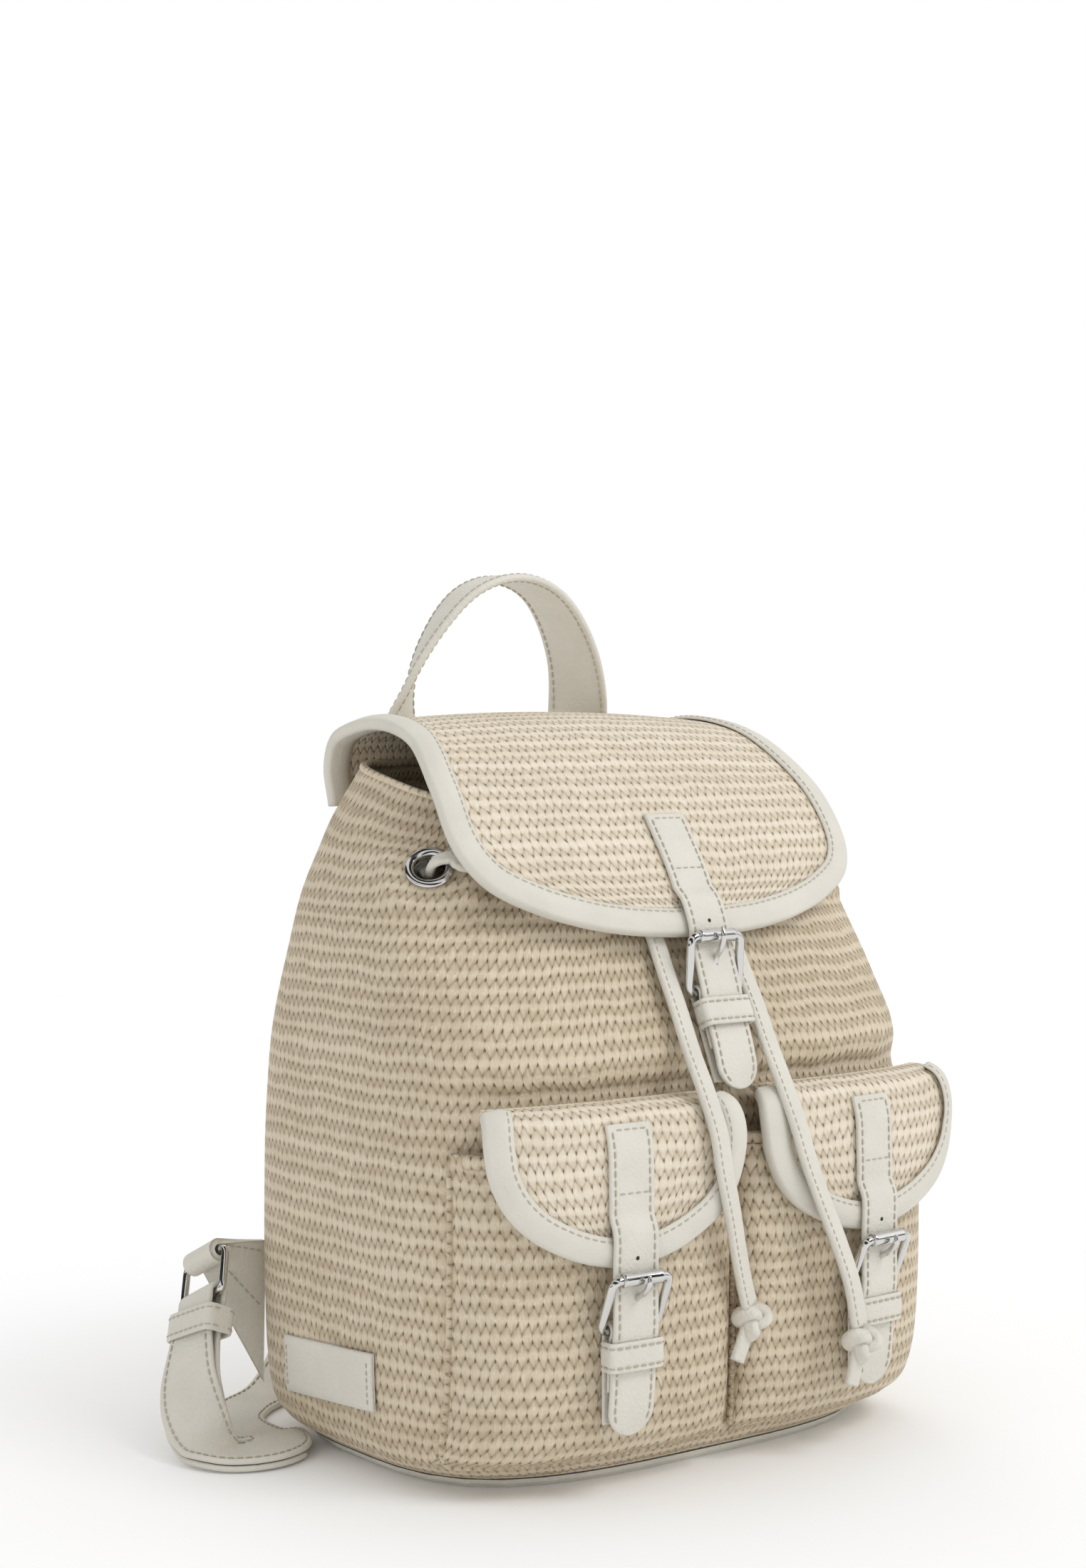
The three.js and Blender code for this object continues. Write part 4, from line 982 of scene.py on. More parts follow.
@dataclass(frozen=True)
class BagShape:
    """Sizes and sections of the bag's body."""

    half_width: float = 118
    front_depth: float = 86
    back_depth: float = 75
    height: float = 256
    neck_dip: float = 17
    seam_angle: float = 30
    wall: float = 2
    gather_depth: float = 5.5
    eyelet_height: float = 222
    eyelet_outer: float = 9.2
    eyelet_hole: float = 5.6
    crease_at: float = 0.545
    crease_spread: float = 0.022
    crease_depth: float = 4
    eyelet_angles: tuple[tuple[str, float], ...] = (("back", 139), ("side", 199), ("front", 222), ("centre", 252))
    gather_out: tuple[float, ...] = (0.8, -1, 0.8, -0.7)
    rows: Table = Table(
        ("at", "wide", "front", "back", "square"),
        (
            (0.0165, 0.9, 0.89, 0.86, 3.4),
            (0.035, 0.955, 0.955, 0.93, 3.8),
            (0.07, 0.985, 0.99, 0.98, 4.2),
            (0.2, 1, 1, 1, 4.4),
            (0.42, 1.005, 1, 0.99, 4.4),
            (0.52, 1, 0.985, 0.97, 4.4),
            (0.6, 0.995, 0.97, 0.94, 4.3),
            (0.67, 0.985, 0.86, 0.9, 4),
            (0.735, 0.975, 0.765, 0.86, 3.5),
            (0.8, 0.945, 0.675, 0.82, 3.1),
            (0.87, 0.875, 0.575, 0.775, 3),
            (0.925, 0.82, 0.48, 0.745, 3),
            (1, 0.715, 0.4, 0.7, 3),
        ),
    )

    def cloth(self, phi: Array, share: Array) -> Array:
        """Points of the cloth before it is pressed flat round the eyelets.

        Each level is a superellipse with its own half width, depth and squareness. Gathers swell it by the square of
        a sine between each two eyelets, a bell curve draws in a crease across the front, and the neck dips there.

        Args:
            phi: angle round the bag in degrees, 270 at the front.
            share: height as a share of the bag.

        Returns:
            The points.
        """
        phi, share = np.broadcast_arrays(np.asarray(phi, float), np.asarray(share, float))
        c, s = np.cos(np.radians(phi)), np.sin(np.radians(phi))
        wide, deep, square = self.level(share, s >= 0)
        radius = ((np.abs(c) / wide) ** square + (np.abs(s) / deep) ** square) ** (-1 / square)
        folded = np.where(phi > 270, 540 - phi, phi)
        angles = [a for _, a in self.eyelet_angles]
        ends = [*angles[1:], 540 - angles[-1]]
        for start, end, out in zip(angles, ends, self.gather_out):
            inside = (folded >= start) & (folded <= end)
            along = np.clip((folded - start) / (end - start), 0, 1)
            swell = self.gather_depth * out * np.sin(np.pi * along) ** 2 * smooth(share, 0.7, 0.88)
            radius = radius + np.where(inside, swell, 0)
        facing = smooth(-s, 0.35, 0.75)
        radius = radius - self.crease_depth * facing * np.exp(-(((share - self.crease_at) / self.crease_spread) ** 2))
        dip = self.neck_dip * smooth(share, 0.8, 1) * smooth(-s, -0.5, 0.6)
        return np.stack([radius * c, radius * s, self.height * share - dip], axis=-1)

    @lru_cache(maxsize=1)
    def eyelets(self) -> list[tuple[str, Array, Array]]:
        """The eyelets' places on the gathered cloth.

        Returns:
            Name, seat and outward direction of each.
        """
        share = self.eyelet_height / self.height
        names = [(f"eyelet_left_{name}", phi) for name, phi in self.eyelet_angles]
        names += [(name.replace("left", "right"), 540 - phi) for name, phi in reversed(names)]
        found = []
        for name, phi in names:
            along = self.cloth(phi + 0.05, share) - self.cloth(phi - 0.05, share)
            up = self.cloth(phi, share + 0.002) - self.cloth(phi, share - 0.002)
            found.append((name, self.cloth(phi, share), unit(np.cross(along, up))))
        return found

    def body(self, phi: Array, share: Array) -> Array:
        """Points of the bag's outer face: the cloth, drawn on to each eyelet's plane by a smooth step of distance.

        Args:
            phi: angle round the bag in degrees, 270 at the front.
            share: height as a share of the bag.

        Returns:
            The points.
        """
        points = self.cloth(phi, share)
        for _, middle, out in self.eyelets():
            away = points - middle
            lift = away @ out
            flat = np.linalg.norm(away - lift[..., None] * out, axis=-1)
            pressed = 1 - smooth(flat, self.eyelet_outer + 7.5, self.eyelet_outer + 13)
            pressed = np.where(np.abs(lift) < 2 * self.eyelet_outer, pressed, 0)
            points = points - (lift * pressed)[..., None] * out
        return points

    def level(self, share: Array, behind: Array | bool) -> tuple[Array, Array, Array]:
        """Half width, depth and squareness of the bag's superellipse at a share of its height.

        Args:
            share: height as a share of the bag.
            behind: where the back's depth is wanted instead of the front's.

        Returns:
            The three measures.
        """
        front, back = (self.rows.column(name, share) for name in ("front", "back"))
        deep = np.where(behind, self.back_depth * back, self.front_depth * front)
        return self.half_width * self.rows.column("wide", share), deep, self.rows.column("square", share)

    def front(self, x: Array, z: Array) -> Array:
        """The bag's front without its crease: y on the superellipse of each level.

        Args:
            x: places across.
            z: heights.

        Returns:
            y at those places.
        """
        wide, deep, square = self.level(np.asarray(z, float) / self.height, False)
        return -deep * np.maximum(0, 1 - (np.abs(x) / wide) ** square) ** (1 / square)

    def side(self, y: Array, z: Array) -> Array:
        """The bag's side: x on the superellipse of each level.

        Args:
            y: places from front to back.
            z: heights.

        Returns:
            Distance from the middle plane at those places.
        """
        wide, deep, square = self.level(np.asarray(z, float) / self.height, np.asarray(y) >= 0)
        return wide * (1 - (np.abs(y) / deep) ** square) ** (1 / square)


BAG = BagShape()


@dataclass
class Body:
    """The wrap, the back panel, the base and the eyelets."""

    shape: BagShape = BAG
    columns: int = 330
    lines: int = 150
    hem_radius: float = 1.7
    seam_radius: float = 1.3

    def grid(self, start: float, end: float, columns: int) -> tuple[Array, Array]:
        """The outer and inner face of a panel; the inner one lies a wall further in along the normals.

        Args:
            start: angle where the panel starts.
            end: angle where it ends.
            columns: number of columns.

        Returns:
            Outer points and inner points.
        """
        phi = np.linspace(start, end, columns)[:, None]
        foot, rest = np.linspace(0.0165, 0.1, 18, endpoint=False), np.linspace(0.1, 1, self.lines - 18)
        outer = self.shape.body(phi, np.concatenate([foot, rest])[None, :])
        return outer, outer - self.shape.wall * surface_normals(outer)

    def clear_of_eyelets(self, middles: Array) -> Array:
        """Tells which faces lie outside the eyelets' holes.

        Args:
            middles: the faces' middles.

        Returns:
            True for the faces that stay.
        """
        free = np.ones(len(middles), dtype=bool)
        for _, middle, _ in self.shape.eyelets():
            free &= np.linalg.norm(middles - middle, axis=1) > self.shape.eyelet_hole + 1.6
        return free

    def build_cloth(self) -> None:
        """Makes the two woven panels and the seams between them."""
        seam = self.shape.seam_angle
        for name, start, end, columns in (
            ("body_wrap", 180 - seam + 0.2, 360 + seam - 0.2, self.columns),
            ("back_panel", seam + 0.2, 180 - seam - 0.2, 150),
        ):
            outer, inner = self.grid(start, end, columns)
            piece = shell(f"straw_{name}", outer, inner, Finish.STRAW.material, keep=self.clear_of_eyelets)
            seat(piece, Finish.STRAW, name)

    def build_seams(self) -> None:
        """Makes the rolled hem of the neck and the rolled seams between the wrap and the back."""
        phi = np.linspace(0, 360, 360, endpoint=False)
        outer = self.shape.body(phi, np.ones(360))
        inwards = unit(outer * [-1, -1, 0])
        hem = Frames.along(outer + inwards * self.shape.wall / 2 - vec(0, 0, 0.4), vec(0, 0, 1), closed=True)
        lay_strip("straw_neck_hem", hem, round_section(self.hem_radius, 14), Finish.STRAW, closed=True, detail=True)
        share = np.linspace(0.02, 0.99, 200)
        for side in Side:
            angle = 180.0 - self.shape.seam_angle
            points = self.shape.body(np.full(200, angle), share)
            line = mirrored(points + unit(points * [1, 1, 0]) * -0.5, side)
            roll, section = Frames.along(line, vec(0, 1, 0)), round_section(self.seam_radius, 12)
            lay_strip(f"straw_side_seam_{side.label}", roll, section, Finish.STRAW, detail=True)

    def build_eyelets(self) -> None:
        """Turns the eyelets, with a rolled outer flange."""
        inner, reach, flange = self.shape.eyelet_hole, self.shape.eyelet_outer, 1.2
        neck, outside, inside = inner + flange, 0.8 + GAP, -self.shape.wall - 0.8 - GAP
        crown = turning(np.linspace(0, 180, 9)) * [(reach - inner) / 2, flange] + [(inner + reach) / 2, outside]
        under = [(inner, inside - flange), (reach, inside - flange), (reach, inside), (neck, inside), (neck, outside)]
        profile = np.concatenate([crown, under])
        pairs = turning(np.linspace(0, 360, 48, endpoint=False))
        for name, middle, out in self.shape.eyelets():
            x = unit(np.cross(out, vec(0, 0, 1)))
            ring = pairs[:, :1] * x + pairs[:, 1:] * np.cross(out, x)
            grid = middle + profile[None, :, :1] * ring[:, None] + profile[None, :, 1:] * out
            faces = grid_faces(len(pairs) + 1, len(profile), wrap=True) % (len(pairs) * len(profile))
            piece = make_object(f"{name}_ring", grid.reshape(-1, 3), faces[:, ::-1], None, Finish.METAL.material)
            seat(piece, Finish.METAL, name)

    def build(self, nodes: dict[str, Object]) -> None:
        """Makes the whole body.

        Args:
            nodes: the CAD nodes, for those that stay.
        """
        self.build_cloth()
        self.build_seams()
        self.build_eyelets()
        dress(nodes["base_panel"], Finish.LEATHER)


def dress(node: Object, finish: Finish) -> None:
    """Gives a CAD node that stays its finish.

    Args:
        node: the CAD node.
        finish: its finish.
    """
    for slot in node.material_slots:
        slot.material = finish.material
    LOG.info("%s keeps its CAD shape", node.name)


# ---- Flaps


@dataclass
class Flap:
    """A flap of straw with a folded leather edging along its free edge."""

    surface: Surface
    name: str
    edging_name: str
    finish: Finish
    edge_from: float  # where along the flap the edging starts
    flare: float
    thickness: float = 2
    binding: float = 9
    leg: float = 1.2

    def cloth(self, side: Side) -> None:
        """Makes the straw sheet, half its thickness to each side of the surface.

        Args:
            side: the side of the bag.
        """
        us = np.linspace(-1, 1, 90)[:, None]
        vs = np.linspace(0, 1, 110)[None, :]
        middle = self.surface(us, vs)
        normal = -surface_normals(middle)
        outer = mirrored(middle + normal * self.thickness / 2, side)
        inner = mirrored(middle - normal * self.thickness / 2, side)
        name = self.name if side is Side.LEFT else self.name.replace("left", "right")
        lay_sheet(f"straw_{name}", outer, inner, self.finish)

    def edge(self) -> Frames:
        """Frames down one side, round the tip and up the other.

        Returns:
            The frames, across pointing into the flap.
        """
        step = 1e-3
        down = np.linspace(self.edge_from, 1, 90)
        over = np.linspace(-1, 1, 24)[1:-1]
        u = np.concatenate([np.full(90, -1.0), over, np.full(90, 1.0)])
        v = np.concatenate([down, np.ones(22), down[::-1]])
        du = self.surface(u + step, v) - self.surface(u - step, v)
        dv = self.surface(u, v + step) - self.surface(u, v - step)
        out = unit(np.cross(dv, du))
        points = self.surface(u, v)
        across = unit(np.cross(out, np.gradient(points, axis=0)))
        return Frames(points, across, out)

    def section(self) -> Array:
        """Section of the edging: two legs that flare a little, joined by half an ellipse round the edge.

        Returns:
            Pairs across and out.
        """
        slot = self.thickness / 2 + GAP
        face = slot + self.leg
        fold = turning(np.linspace(90, 270, 9)) * [GAP + self.leg, face]
        rim = np.array([self.binding, self.binding - 0.25, self.binding * 0.62, self.binding * 0.3])
        lift = np.array([face - 0.8, face - 0.35, face + 0.55, face + 0.6]) + self.flare * rim / self.binding
        top = np.stack([rim, lift], axis=1)
        inside = np.array([[self.binding, slot + self.flare], [-GAP, slot]])
        return np.concatenate([top, fold, top[::-1] * [1, -1], inside * [1, -1], inside[::-1]])

    def edging(self, side: Side) -> None:
        """Makes the leather edging and its row of stitches.

        Args:
            side: the side of the bag.
        """
        frames = self.edge()
        name = self.edging_name if side is Side.LEFT else self.edging_name.replace("left", "right")
        frames = frames.mirrored(side)
        lay_strip(f"leather_{name}", frames, self.section(), Finish.EDGE)
        thread = Thread()
        face = self.thickness / 2 + GAP + self.leg + self.flare * 0.8
        thread.line(frames.lifted(self.binding - 1.6, face + 0.02))
        sew(thread, f"stitches_{name}")

    def build(self, side: Side = Side.LEFT) -> None:
        """Makes the flap on one side."""
        self.cloth(side)
        self.edging(side)


@dataclass(frozen=True)
class MainFlapShape:
    """Sizes of the flap over the mouth."""

    half_width: float = 93
    reach: float = 70
    top: float = 275
    sag: float = 5
    rows: Table = Table(
        ("at", "reach", "up", "half", "bow"),
        (
            (0, -0.83, 0.869, 0.86, -1),
            (0.09, -0.815, 0.93, 0.885, -0.7),
            (0.18, -0.68, 0.98, 0.885, 0),
            (0.3, -0.29, 1, 0.875, 0.6),
            (0.43, 0.16, 0.977, 0.915, 1),
            (0.56, 0.56, 0.9, 0.985, 1.4),
            (0.68, 0.79, 0.827, 1, 1.5),
            (0.78, 0.92, 0.776, 0.92, 1.5),
            (0.86, 0.985, 0.743, 0.74, 1.5),
            (0.92, 1.02, 0.722, 0.53, 1.5),
            (0.965, 1.04, 0.711, 0.33, 1.5),
            (1, 1.05, 0.706, 0.13, 1.5),
        ),
    )

    def point(self, u: Array, v: Array) -> Array:
        """Middle of the flap's sheet: rows of the table from the seam to the tip, each bowed as a parabola across.

        Args:
            u: -1 to 1 across.
            v: 0 at the back seam and 1 at the tip.

        Returns:
            The points.
        """
        u, v = np.broadcast_arrays(np.asarray(u, float), np.asarray(v, float))
        x = u * self.half_width * self.rows.column("half", v)
        side = (x / self.half_width) ** 2
        y = -self.reach * self.rows.column("reach", v) + self.sag * self.rows.column("bow", v) * side
        droop = self.sag * side * (1 - smooth(v, 0.35, 0.6)) * smooth(v, 0, 0.25)
        return np.stack([x, y, self.top * self.rows.column("up", v) - droop], axis=-1)


@dataclass(frozen=True)
class PocketShape:
    """Sizes of a pocket and its flap on the left side."""

    inner_x: float = 3
    outer_x: float = 109
    bottom: float = 12
    top: float = 122
    depth: float = 12
    pocket_seat: float = 1.5
    centre: float = 58
    flap_half: float = 51
    flap_top: float = 137
    flap_tip: float = 84
    wall: float = 2
    rows: Table = Table(
        ("at", "up", "out", "half"),
        (
            (0, 0, 0.13, 0.9),
            (0.1, 0.01, 0.5, 0.95),
            (0.22, 0.07, 0.86, 1),
            (0.36, 0.22, 1, 1.02),
            (0.52, 0.42, 1, 0.99),
            (0.66, 0.61, 1, 0.9),
            (0.78, 0.77, 1, 0.74),
            (0.88, 0.89, 1, 0.52),
            (0.95, 0.96, 1, 0.32),
            (1, 1, 1, 0.13),
        ),
    )

    @property
    def face(self) -> float:
        """Distance of the pocket's outer face from the bag."""
        return self.pocket_seat + self.depth

    @property
    def flap_out(self) -> float:
        """Distance of the flap's middle from the bag."""
        return self.face + 3.5 * GAP + 1 + GAP + 1.2

    def pouch(self, u: Array, v: Array, inset: float = 0) -> Array:
        """Points of the pouch's outer face: it stands out from the bag by a superellipse across times one upwards.

        Args:
            u: 0 at the outer edge and 1 at the inner one.
            v: 0 at the bottom and 1 at the top.
            inset: distance that the face is set in.

        Returns:
            The points.
        """
        u, v = np.broadcast_arrays(np.asarray(u, float), np.asarray(v, float))
        x = self.outer_x - inset + (self.inner_x - self.outer_x + 2 * inset) * u
        z = self.bottom + inset + (self.top - self.bottom - inset) * v
        sideways = np.maximum(0, 1 - np.abs(2 * u - 1) ** 6) ** (1 / 3)
        upwards = np.maximum(0, 1 - np.maximum(0, 1 - v) ** 6) ** 0.5
        y = BAG.front(x, z) - self.pocket_seat - (self.depth - inset) * sideways * upwards
        return np.stack([-x, y, z], axis=-1)

    def flap(self, u: Array, v: Array) -> Array:
        """Middle of the flap's sheet, which follows the bag's front at a distance from the table.

        Args:
            u: -1 to 1 across.
            v: 0 at the seam and 1 at the tip.

        Returns:
            The points.
        """
        u, v = np.broadcast_arrays(np.asarray(u, float), np.asarray(v, float))
        x = self.centre - u * self.flap_half * self.rows.column("half", v)
        z = self.flap_top - (self.flap_top - self.flap_tip) * self.rows.column("up", v)
        around = self.centre + (x - self.centre) * 0.8
        return np.stack([-x, BAG.front(around, z) - self.flap_out * self.rows.column("out", v), z], axis=-1)


@dataclass
class Pocket:
    """One front pocket, with its hem and seams."""

    shape: PocketShape
    side: Side
    hem_height: float = 5.5
    hem_raise: float = 0.45
    seam_radius: float = 1.35

    def build_borders(self, name: str) -> None:
        """Makes the turned hem at the top, with its stitches, and the rolled seam round the other edges.

        Args:
            name: the pocket's name.
        """
        shape = self.shape
        tall = shape.top - shape.bottom
        us = np.linspace(0.006, 0.994, 120)
        middle = 1 - (self.hem_height / 2 - 0.3) / tall
        hem = Frames.along(mirrored(shape.pouch(us, np.full(120, middle), shape.wall / 2), self.side), vec(0, 0, 1))
        section = strip_section(self.hem_height, shape.wall + 2 * self.hem_raise)
        lay_strip(f"straw_hem_{name}", hem, section, Finish.STRAW, detail=True)
        thread = Thread()
        low = 1 - (self.hem_height - 0.9) / tall
        thread.line(shape.pouch(us, np.full(120, low)) + vec(0, -self.hem_raise - 0.05, 0))
        sew(thread, f"stitches_hem_{name}", self.side)
        down = np.linspace(0.94, 0.03, 60)
        over = np.linspace(0.03, 0.97, 60)
        u = np.concatenate([np.zeros(60), over, np.ones(60)])
        v = np.concatenate([down, np.zeros(60), down[::-1]])
        path, _ = spline(mirrored(shape.pouch(u, v) + vec(0, 0.2, 0), self.side)[::3], 200)
        roll = Frames.along(path, vec(0, 1, 0))
        lay_strip(f"straw_seam_{name}", roll, round_section(self.seam_radius, 12), Finish.STRAW, detail=True)

    def build(self) -> None:
        """Makes the pouch, its stitched hem and its flap."""
        us = np.linspace(0, 1, 150)[:, None]
        for _ in range(2):  # closer columns near both edges
            us = 0.5 - 0.5 * np.cos(np.pi * us)
        vs = (1 - np.cos(np.pi / 2 * np.linspace(0, 1, 110)))[None, :]
        outer = mirrored(self.shape.pouch(us, vs), self.side)
        inner = mirrored(self.shape.pouch(us, vs, self.shape.wall), self.side)
        name = f"pocket_{self.side.label}"
        seat(shell(f"straw_{name}", outer, inner, Finish.STRAW.material), Finish.STRAW, name)
        self.build_borders(name)
        names = ("pocket_flap_left", "pocket_edging_left")
        Flap(self.shape.flap, *names, Finish.STRAW_FLAP, edge_from=0.13, flare=2.3 * GAP).build(self.side)


# ---- Straps and buckles


def turned(degrees: float, axis: str) -> Array:
    """Matrix of a turn about the x or z axis."""
    c, s = turning(np.array(degrees))
    return np.array([[1, 0, 0], [0, c, -s], [0, s, c]] if axis == "x" else [[c, -s, 0], [s, c, 0], [0, 0, 1]])


def lay_keeper(
    name: str, frames: Frames, sizes: tuple[float, ...], seam: float, lift: float, side: Side = Side.LEFT
) -> None:
    """Makes a closed leather loop with a row of stitches along both borders.

    Args:
        name: its CAD node.
        frames: where it runs, on the left side.
        sizes: its width, thickness, crown and furrows' distance, as for a strip.
        seam: distance of the stitches from its middle.
        lift: how far the stitches' middle stands off its face.
        side: the side of the bag.
    """
    lay_strip(f"leather_{name}", frames.mirrored(side), strip_section(*sizes), Finish.LEATHER, closed=True)
    thread = Thread()
    outward = np.sign(np.sum(frames.out * (frames.at - frames.at.mean(axis=0)), axis=1)).mean()
    for offset in (-seam, seam):
        thread.line(frames.lifted(offset, outward * (sizes[1] / 2 + lift)), closed=True)
    sew(thread, f"stitches_{name}", side)


def wire_ring(corners: Sequence[tuple[float, float]], bend: float) -> Array:
    """A closed wire in the x-z plane, with a quadratic Bezier curve at each corner.

    Args:
        corners: its four corners.
        bend: distance from a corner where its curve starts.

    Returns:
        The points.
    """
    corners_3d = np.array([[x, 0, z] for x, z in corners], dtype=float)
    points = []
    for i, here in enumerate(corners_3d):
        before = here + bend * unit(corners_3d[i - 1] - here)
        after = here + bend * unit(corners_3d[(i + 1) % 4] - here)
        for t in np.linspace(0, 1, 7):
            points.append((1 - t) ** 2 * before + 2 * t * (1 - t) * here + t * t * after)
    return np.array(points)


@dataclass
class Closure:
    """Strap on a flap, with a roller buckle, its tab and its keeper.

    All of it is laid out in a frame of its own: x across, y inwards and z up from the flap's tip.
    """

    name: str
    origin: Array
    turn: Array
    lie: Callable[[float], float]
    strap_width: float = 19
    strap_thickness: float = 1.8
    tab_thickness: float = 1.4
    wire: float = 3.2
    roller_radius: float = 2.5
    roller_half: float = 8.4
    buckle_width: float = 27
    buckle_height: float = 22
    prong_radius: float = 1.1
    keeper_width: float = 10.5
    keeper_wall: float = 1.3
    keeper_low: float = -31.45
    buckle_bend: float = 3.4
    bar_below: float = 23
    hole_above: float = 2.6  # the punched hole, above the flap's tip
    hole_radius: float = 0.75
    rows_above: tuple[float, float] = (45.8, 24)  # rows of stitches across, above the flap's tip
    strap_end: float = 60

    def place(self, points: Array) -> Array:
        """Points of the closure's frame in the bag's."""
        return points @ self.turn.T + self.origin

    def route(self, rows: Sequence[tuple[float, float]], steps: int) -> Frames:
        """Frames along a curve through pairs of a height and a distance outwards."""
        return Frames.along(spline(np.array([[0, -out, z] for z, out in rows]), steps)[0], vec(1, 0, 0))

    def put(self, frames: Frames) -> Frames:
        """Frames of the closure in the bag's frame."""
        return Frames(self.place(frames.at), frames.across @ self.turn.T, frames.out @ self.turn.T)

    def on_flap(self, z: float) -> float:
        """Distance of the strap's middle outwards where it lies on the flap, at a height."""
        return self.lie(z) + 1 + GAP + self.strap_thickness / 2

    def on_edging(self, z: float) -> float:
        """Distance of the strap's middle outwards where it lies on the flap's edging, at a height."""
        return self.on_flap(z) + 3.2 * GAP + 1.2

    def build(self) -> None:
        """Makes every piece of the closure."""
        bar, low = self.wire / 2, -self.bar_below
        tab_lay = GAP + self.tab_thickness / 2
        loop = bar + tab_lay
        bar_out = tab_lay + loop
        span = self.buckle_height - self.wire
        tab_upper = tab_lay + self.tab_thickness + self.keeper_wall + 2 * GAP
        over = tab_lay + self.strap_thickness / 2
        under_bar = bar_out + loop + over
        roller_z = span + low
        at_roller = max((self.on_edging(0) + under_bar) / 2, bar_out + 2.8)
        roller_out = at_roller + self.strap_thickness / 2 + GAP + self.roller_radius
        below = ((-28, 1.1), (-35, 0.3), (-42, 0), (-50, -0.9), (-self.strap_end, -0.6 - over))
        self.build_strap(self.route([
            *((z, self.on_flap(z)) for z in (48, 40, 30, 22, 16.5)),
            (11, self.on_edging(10.5)), (0, self.on_edging(0)), (roller_z, at_roller),
            (-13, (at_roller + under_bar) / 2), (low, under_bar), *((z, tab_upper + over + out) for z, out in below),
        ], 150))
        turns = turning(np.linspace(-90, 90, 6)) * loop + [low, bar_out]
        tab = self.put(self.route([
            *((z, tab_lay) for z in (-56, -45, -34, low - 2.5)), *turns,
            *((z, tab_upper + out) for z, out in ((low - 2.8, 0.9), (low - 6.5, 0.1), (-34, 0), (-44, -0.4))),
        ], 90))
        section = strip_section(self.strap_width - 0.6, self.tab_thickness)
        lay_strip(f"leather_{self.name}_tab", tab, section, Finish.LEATHER)
        self.build_buckle(bar_out, roller_out, span)
        front = roller_out + self.roller_radius + 2 * GAP + self.prong_radius
        prong = self.put(self.route([
            (low + bar + self.prong_radius + GAP + 0.4, bar_out + 0.6), (low + 7, at_roller - 1.6),
            (-12.2, at_roller + 0.2), (roller_z - 5, (at_roller + front) / 2 + 0.9), (roller_z - 1.5, front),
            (roller_z + 1.6, front + 0.3),
        ], 40))
        taper = 1 - 0.45 * smooth(np.linspace(0, 1, 41), 0.85, 1)
        section = round_section(self.prong_radius, 12) * taper[:, None, None]
        lay_strip(f"metal_{self.name}_prong", prong, section, Finish.METAL)
        self.build_keeper(tab_upper, over)

    def build_strap(self, frames: Frames) -> None:
        """Makes the strap with its round tip, stitched borders, two rows across and its punched hole, whose dark disc
        is painted shade.

        Args:
            frames: where the strap runs, in the closure's frame.
        """
        left = frames.at[:, 2] + self.strap_end
        tip = np.sqrt(np.maximum(0.02, 1 - (1 - np.minimum(1, np.maximum(0, left) / (self.strap_width / 2))) ** 2))
        section = narrowed(strip_section(self.strap_width, self.strap_thickness, 0.12, 2.2), tip)
        placed = self.put(frames)
        lay_strip(f"leather_{self.name}_strap", placed, section, Finish.LEATHER)
        thread = Thread()
        lift = -self.strap_thickness / 2 - 0.1
        inset = np.maximum(0, self.strap_width / 2 * tip - 2.2)
        keep = left > 2.4
        for sign in (-1, 1):
            line = placed.at + (sign * inset)[:, None] * placed.across + lift * placed.out
            thread.line(line[keep][2:])
        hole, *rows = (int(np.argmin(np.abs(frames.at[:, 2] - z))) for z in (self.hole_above, *self.rows_above))
        # a dark disc fills the punched hole: painted shade where the hole looks through
        punched = placed.at[hole] + np.array([[lift + 0.1], [lift - 0.1]]) * placed.out[hole]
        disc = Frames.along(punched, placed.across[hole])
        lay_strip(f"hole_{self.name}", disc, round_section(self.hole_radius), Finish.HOLE, detail=True)
        for row in rows:
            thread.cross(placed, row, 7, lift)
        sew(thread, f"stitches_{self.name}_strap")

    def build_buckle(self, bar_out: float, roller_out: float, span: float) -> None:
        """Makes the buckle's frame and its roller.

        Args:
            bar_out: distance of the lower bar's middle outwards.
            roller_out: distance of the roller's middle outwards.
            span: height from the lower bar to the roller.
        """
        tilt = math.degrees(math.atan2(roller_out - bar_out, span))
        length = math.hypot(roller_out - bar_out, span)
        reach = (self.buckle_width - self.wire) / 2
        spin = turned(tilt, "x")
        foot = vec(0, -bar_out, -self.bar_below)
        points = wire_ring([(-reach, 0), (reach, 0), (reach, length), (-reach, length)], self.buckle_bend)
        normal = vec(0, 1, 0) @ spin.T @ self.turn.T
        frames = Frames.along(self.place(points @ spin.T + foot), normal, closed=True)
        section = round_section(self.wire / 2)
        lay_strip(f"metal_{self.name}_buckle", frames, section, Finish.METAL, closed=True)
        ends = np.array([self.roller_half, self.roller_half - 0.25, self.roller_half - 1.2])
        line = np.concatenate([-ends, ends[::-1]])[:, None] * vec(1, 0, 0) + vec(0, 0, length)
        scale = np.array([0.86, 1, 0.97, 0.97, 1, 0.86])  # rolled rims near both ends
        section = round_section(self.roller_radius, 28) * scale[:, None, None]
        roller = Frames.along(self.place(line @ spin.T + foot), normal)
        lay_strip(f"metal_{self.name}_roller", roller, section, Finish.METAL)

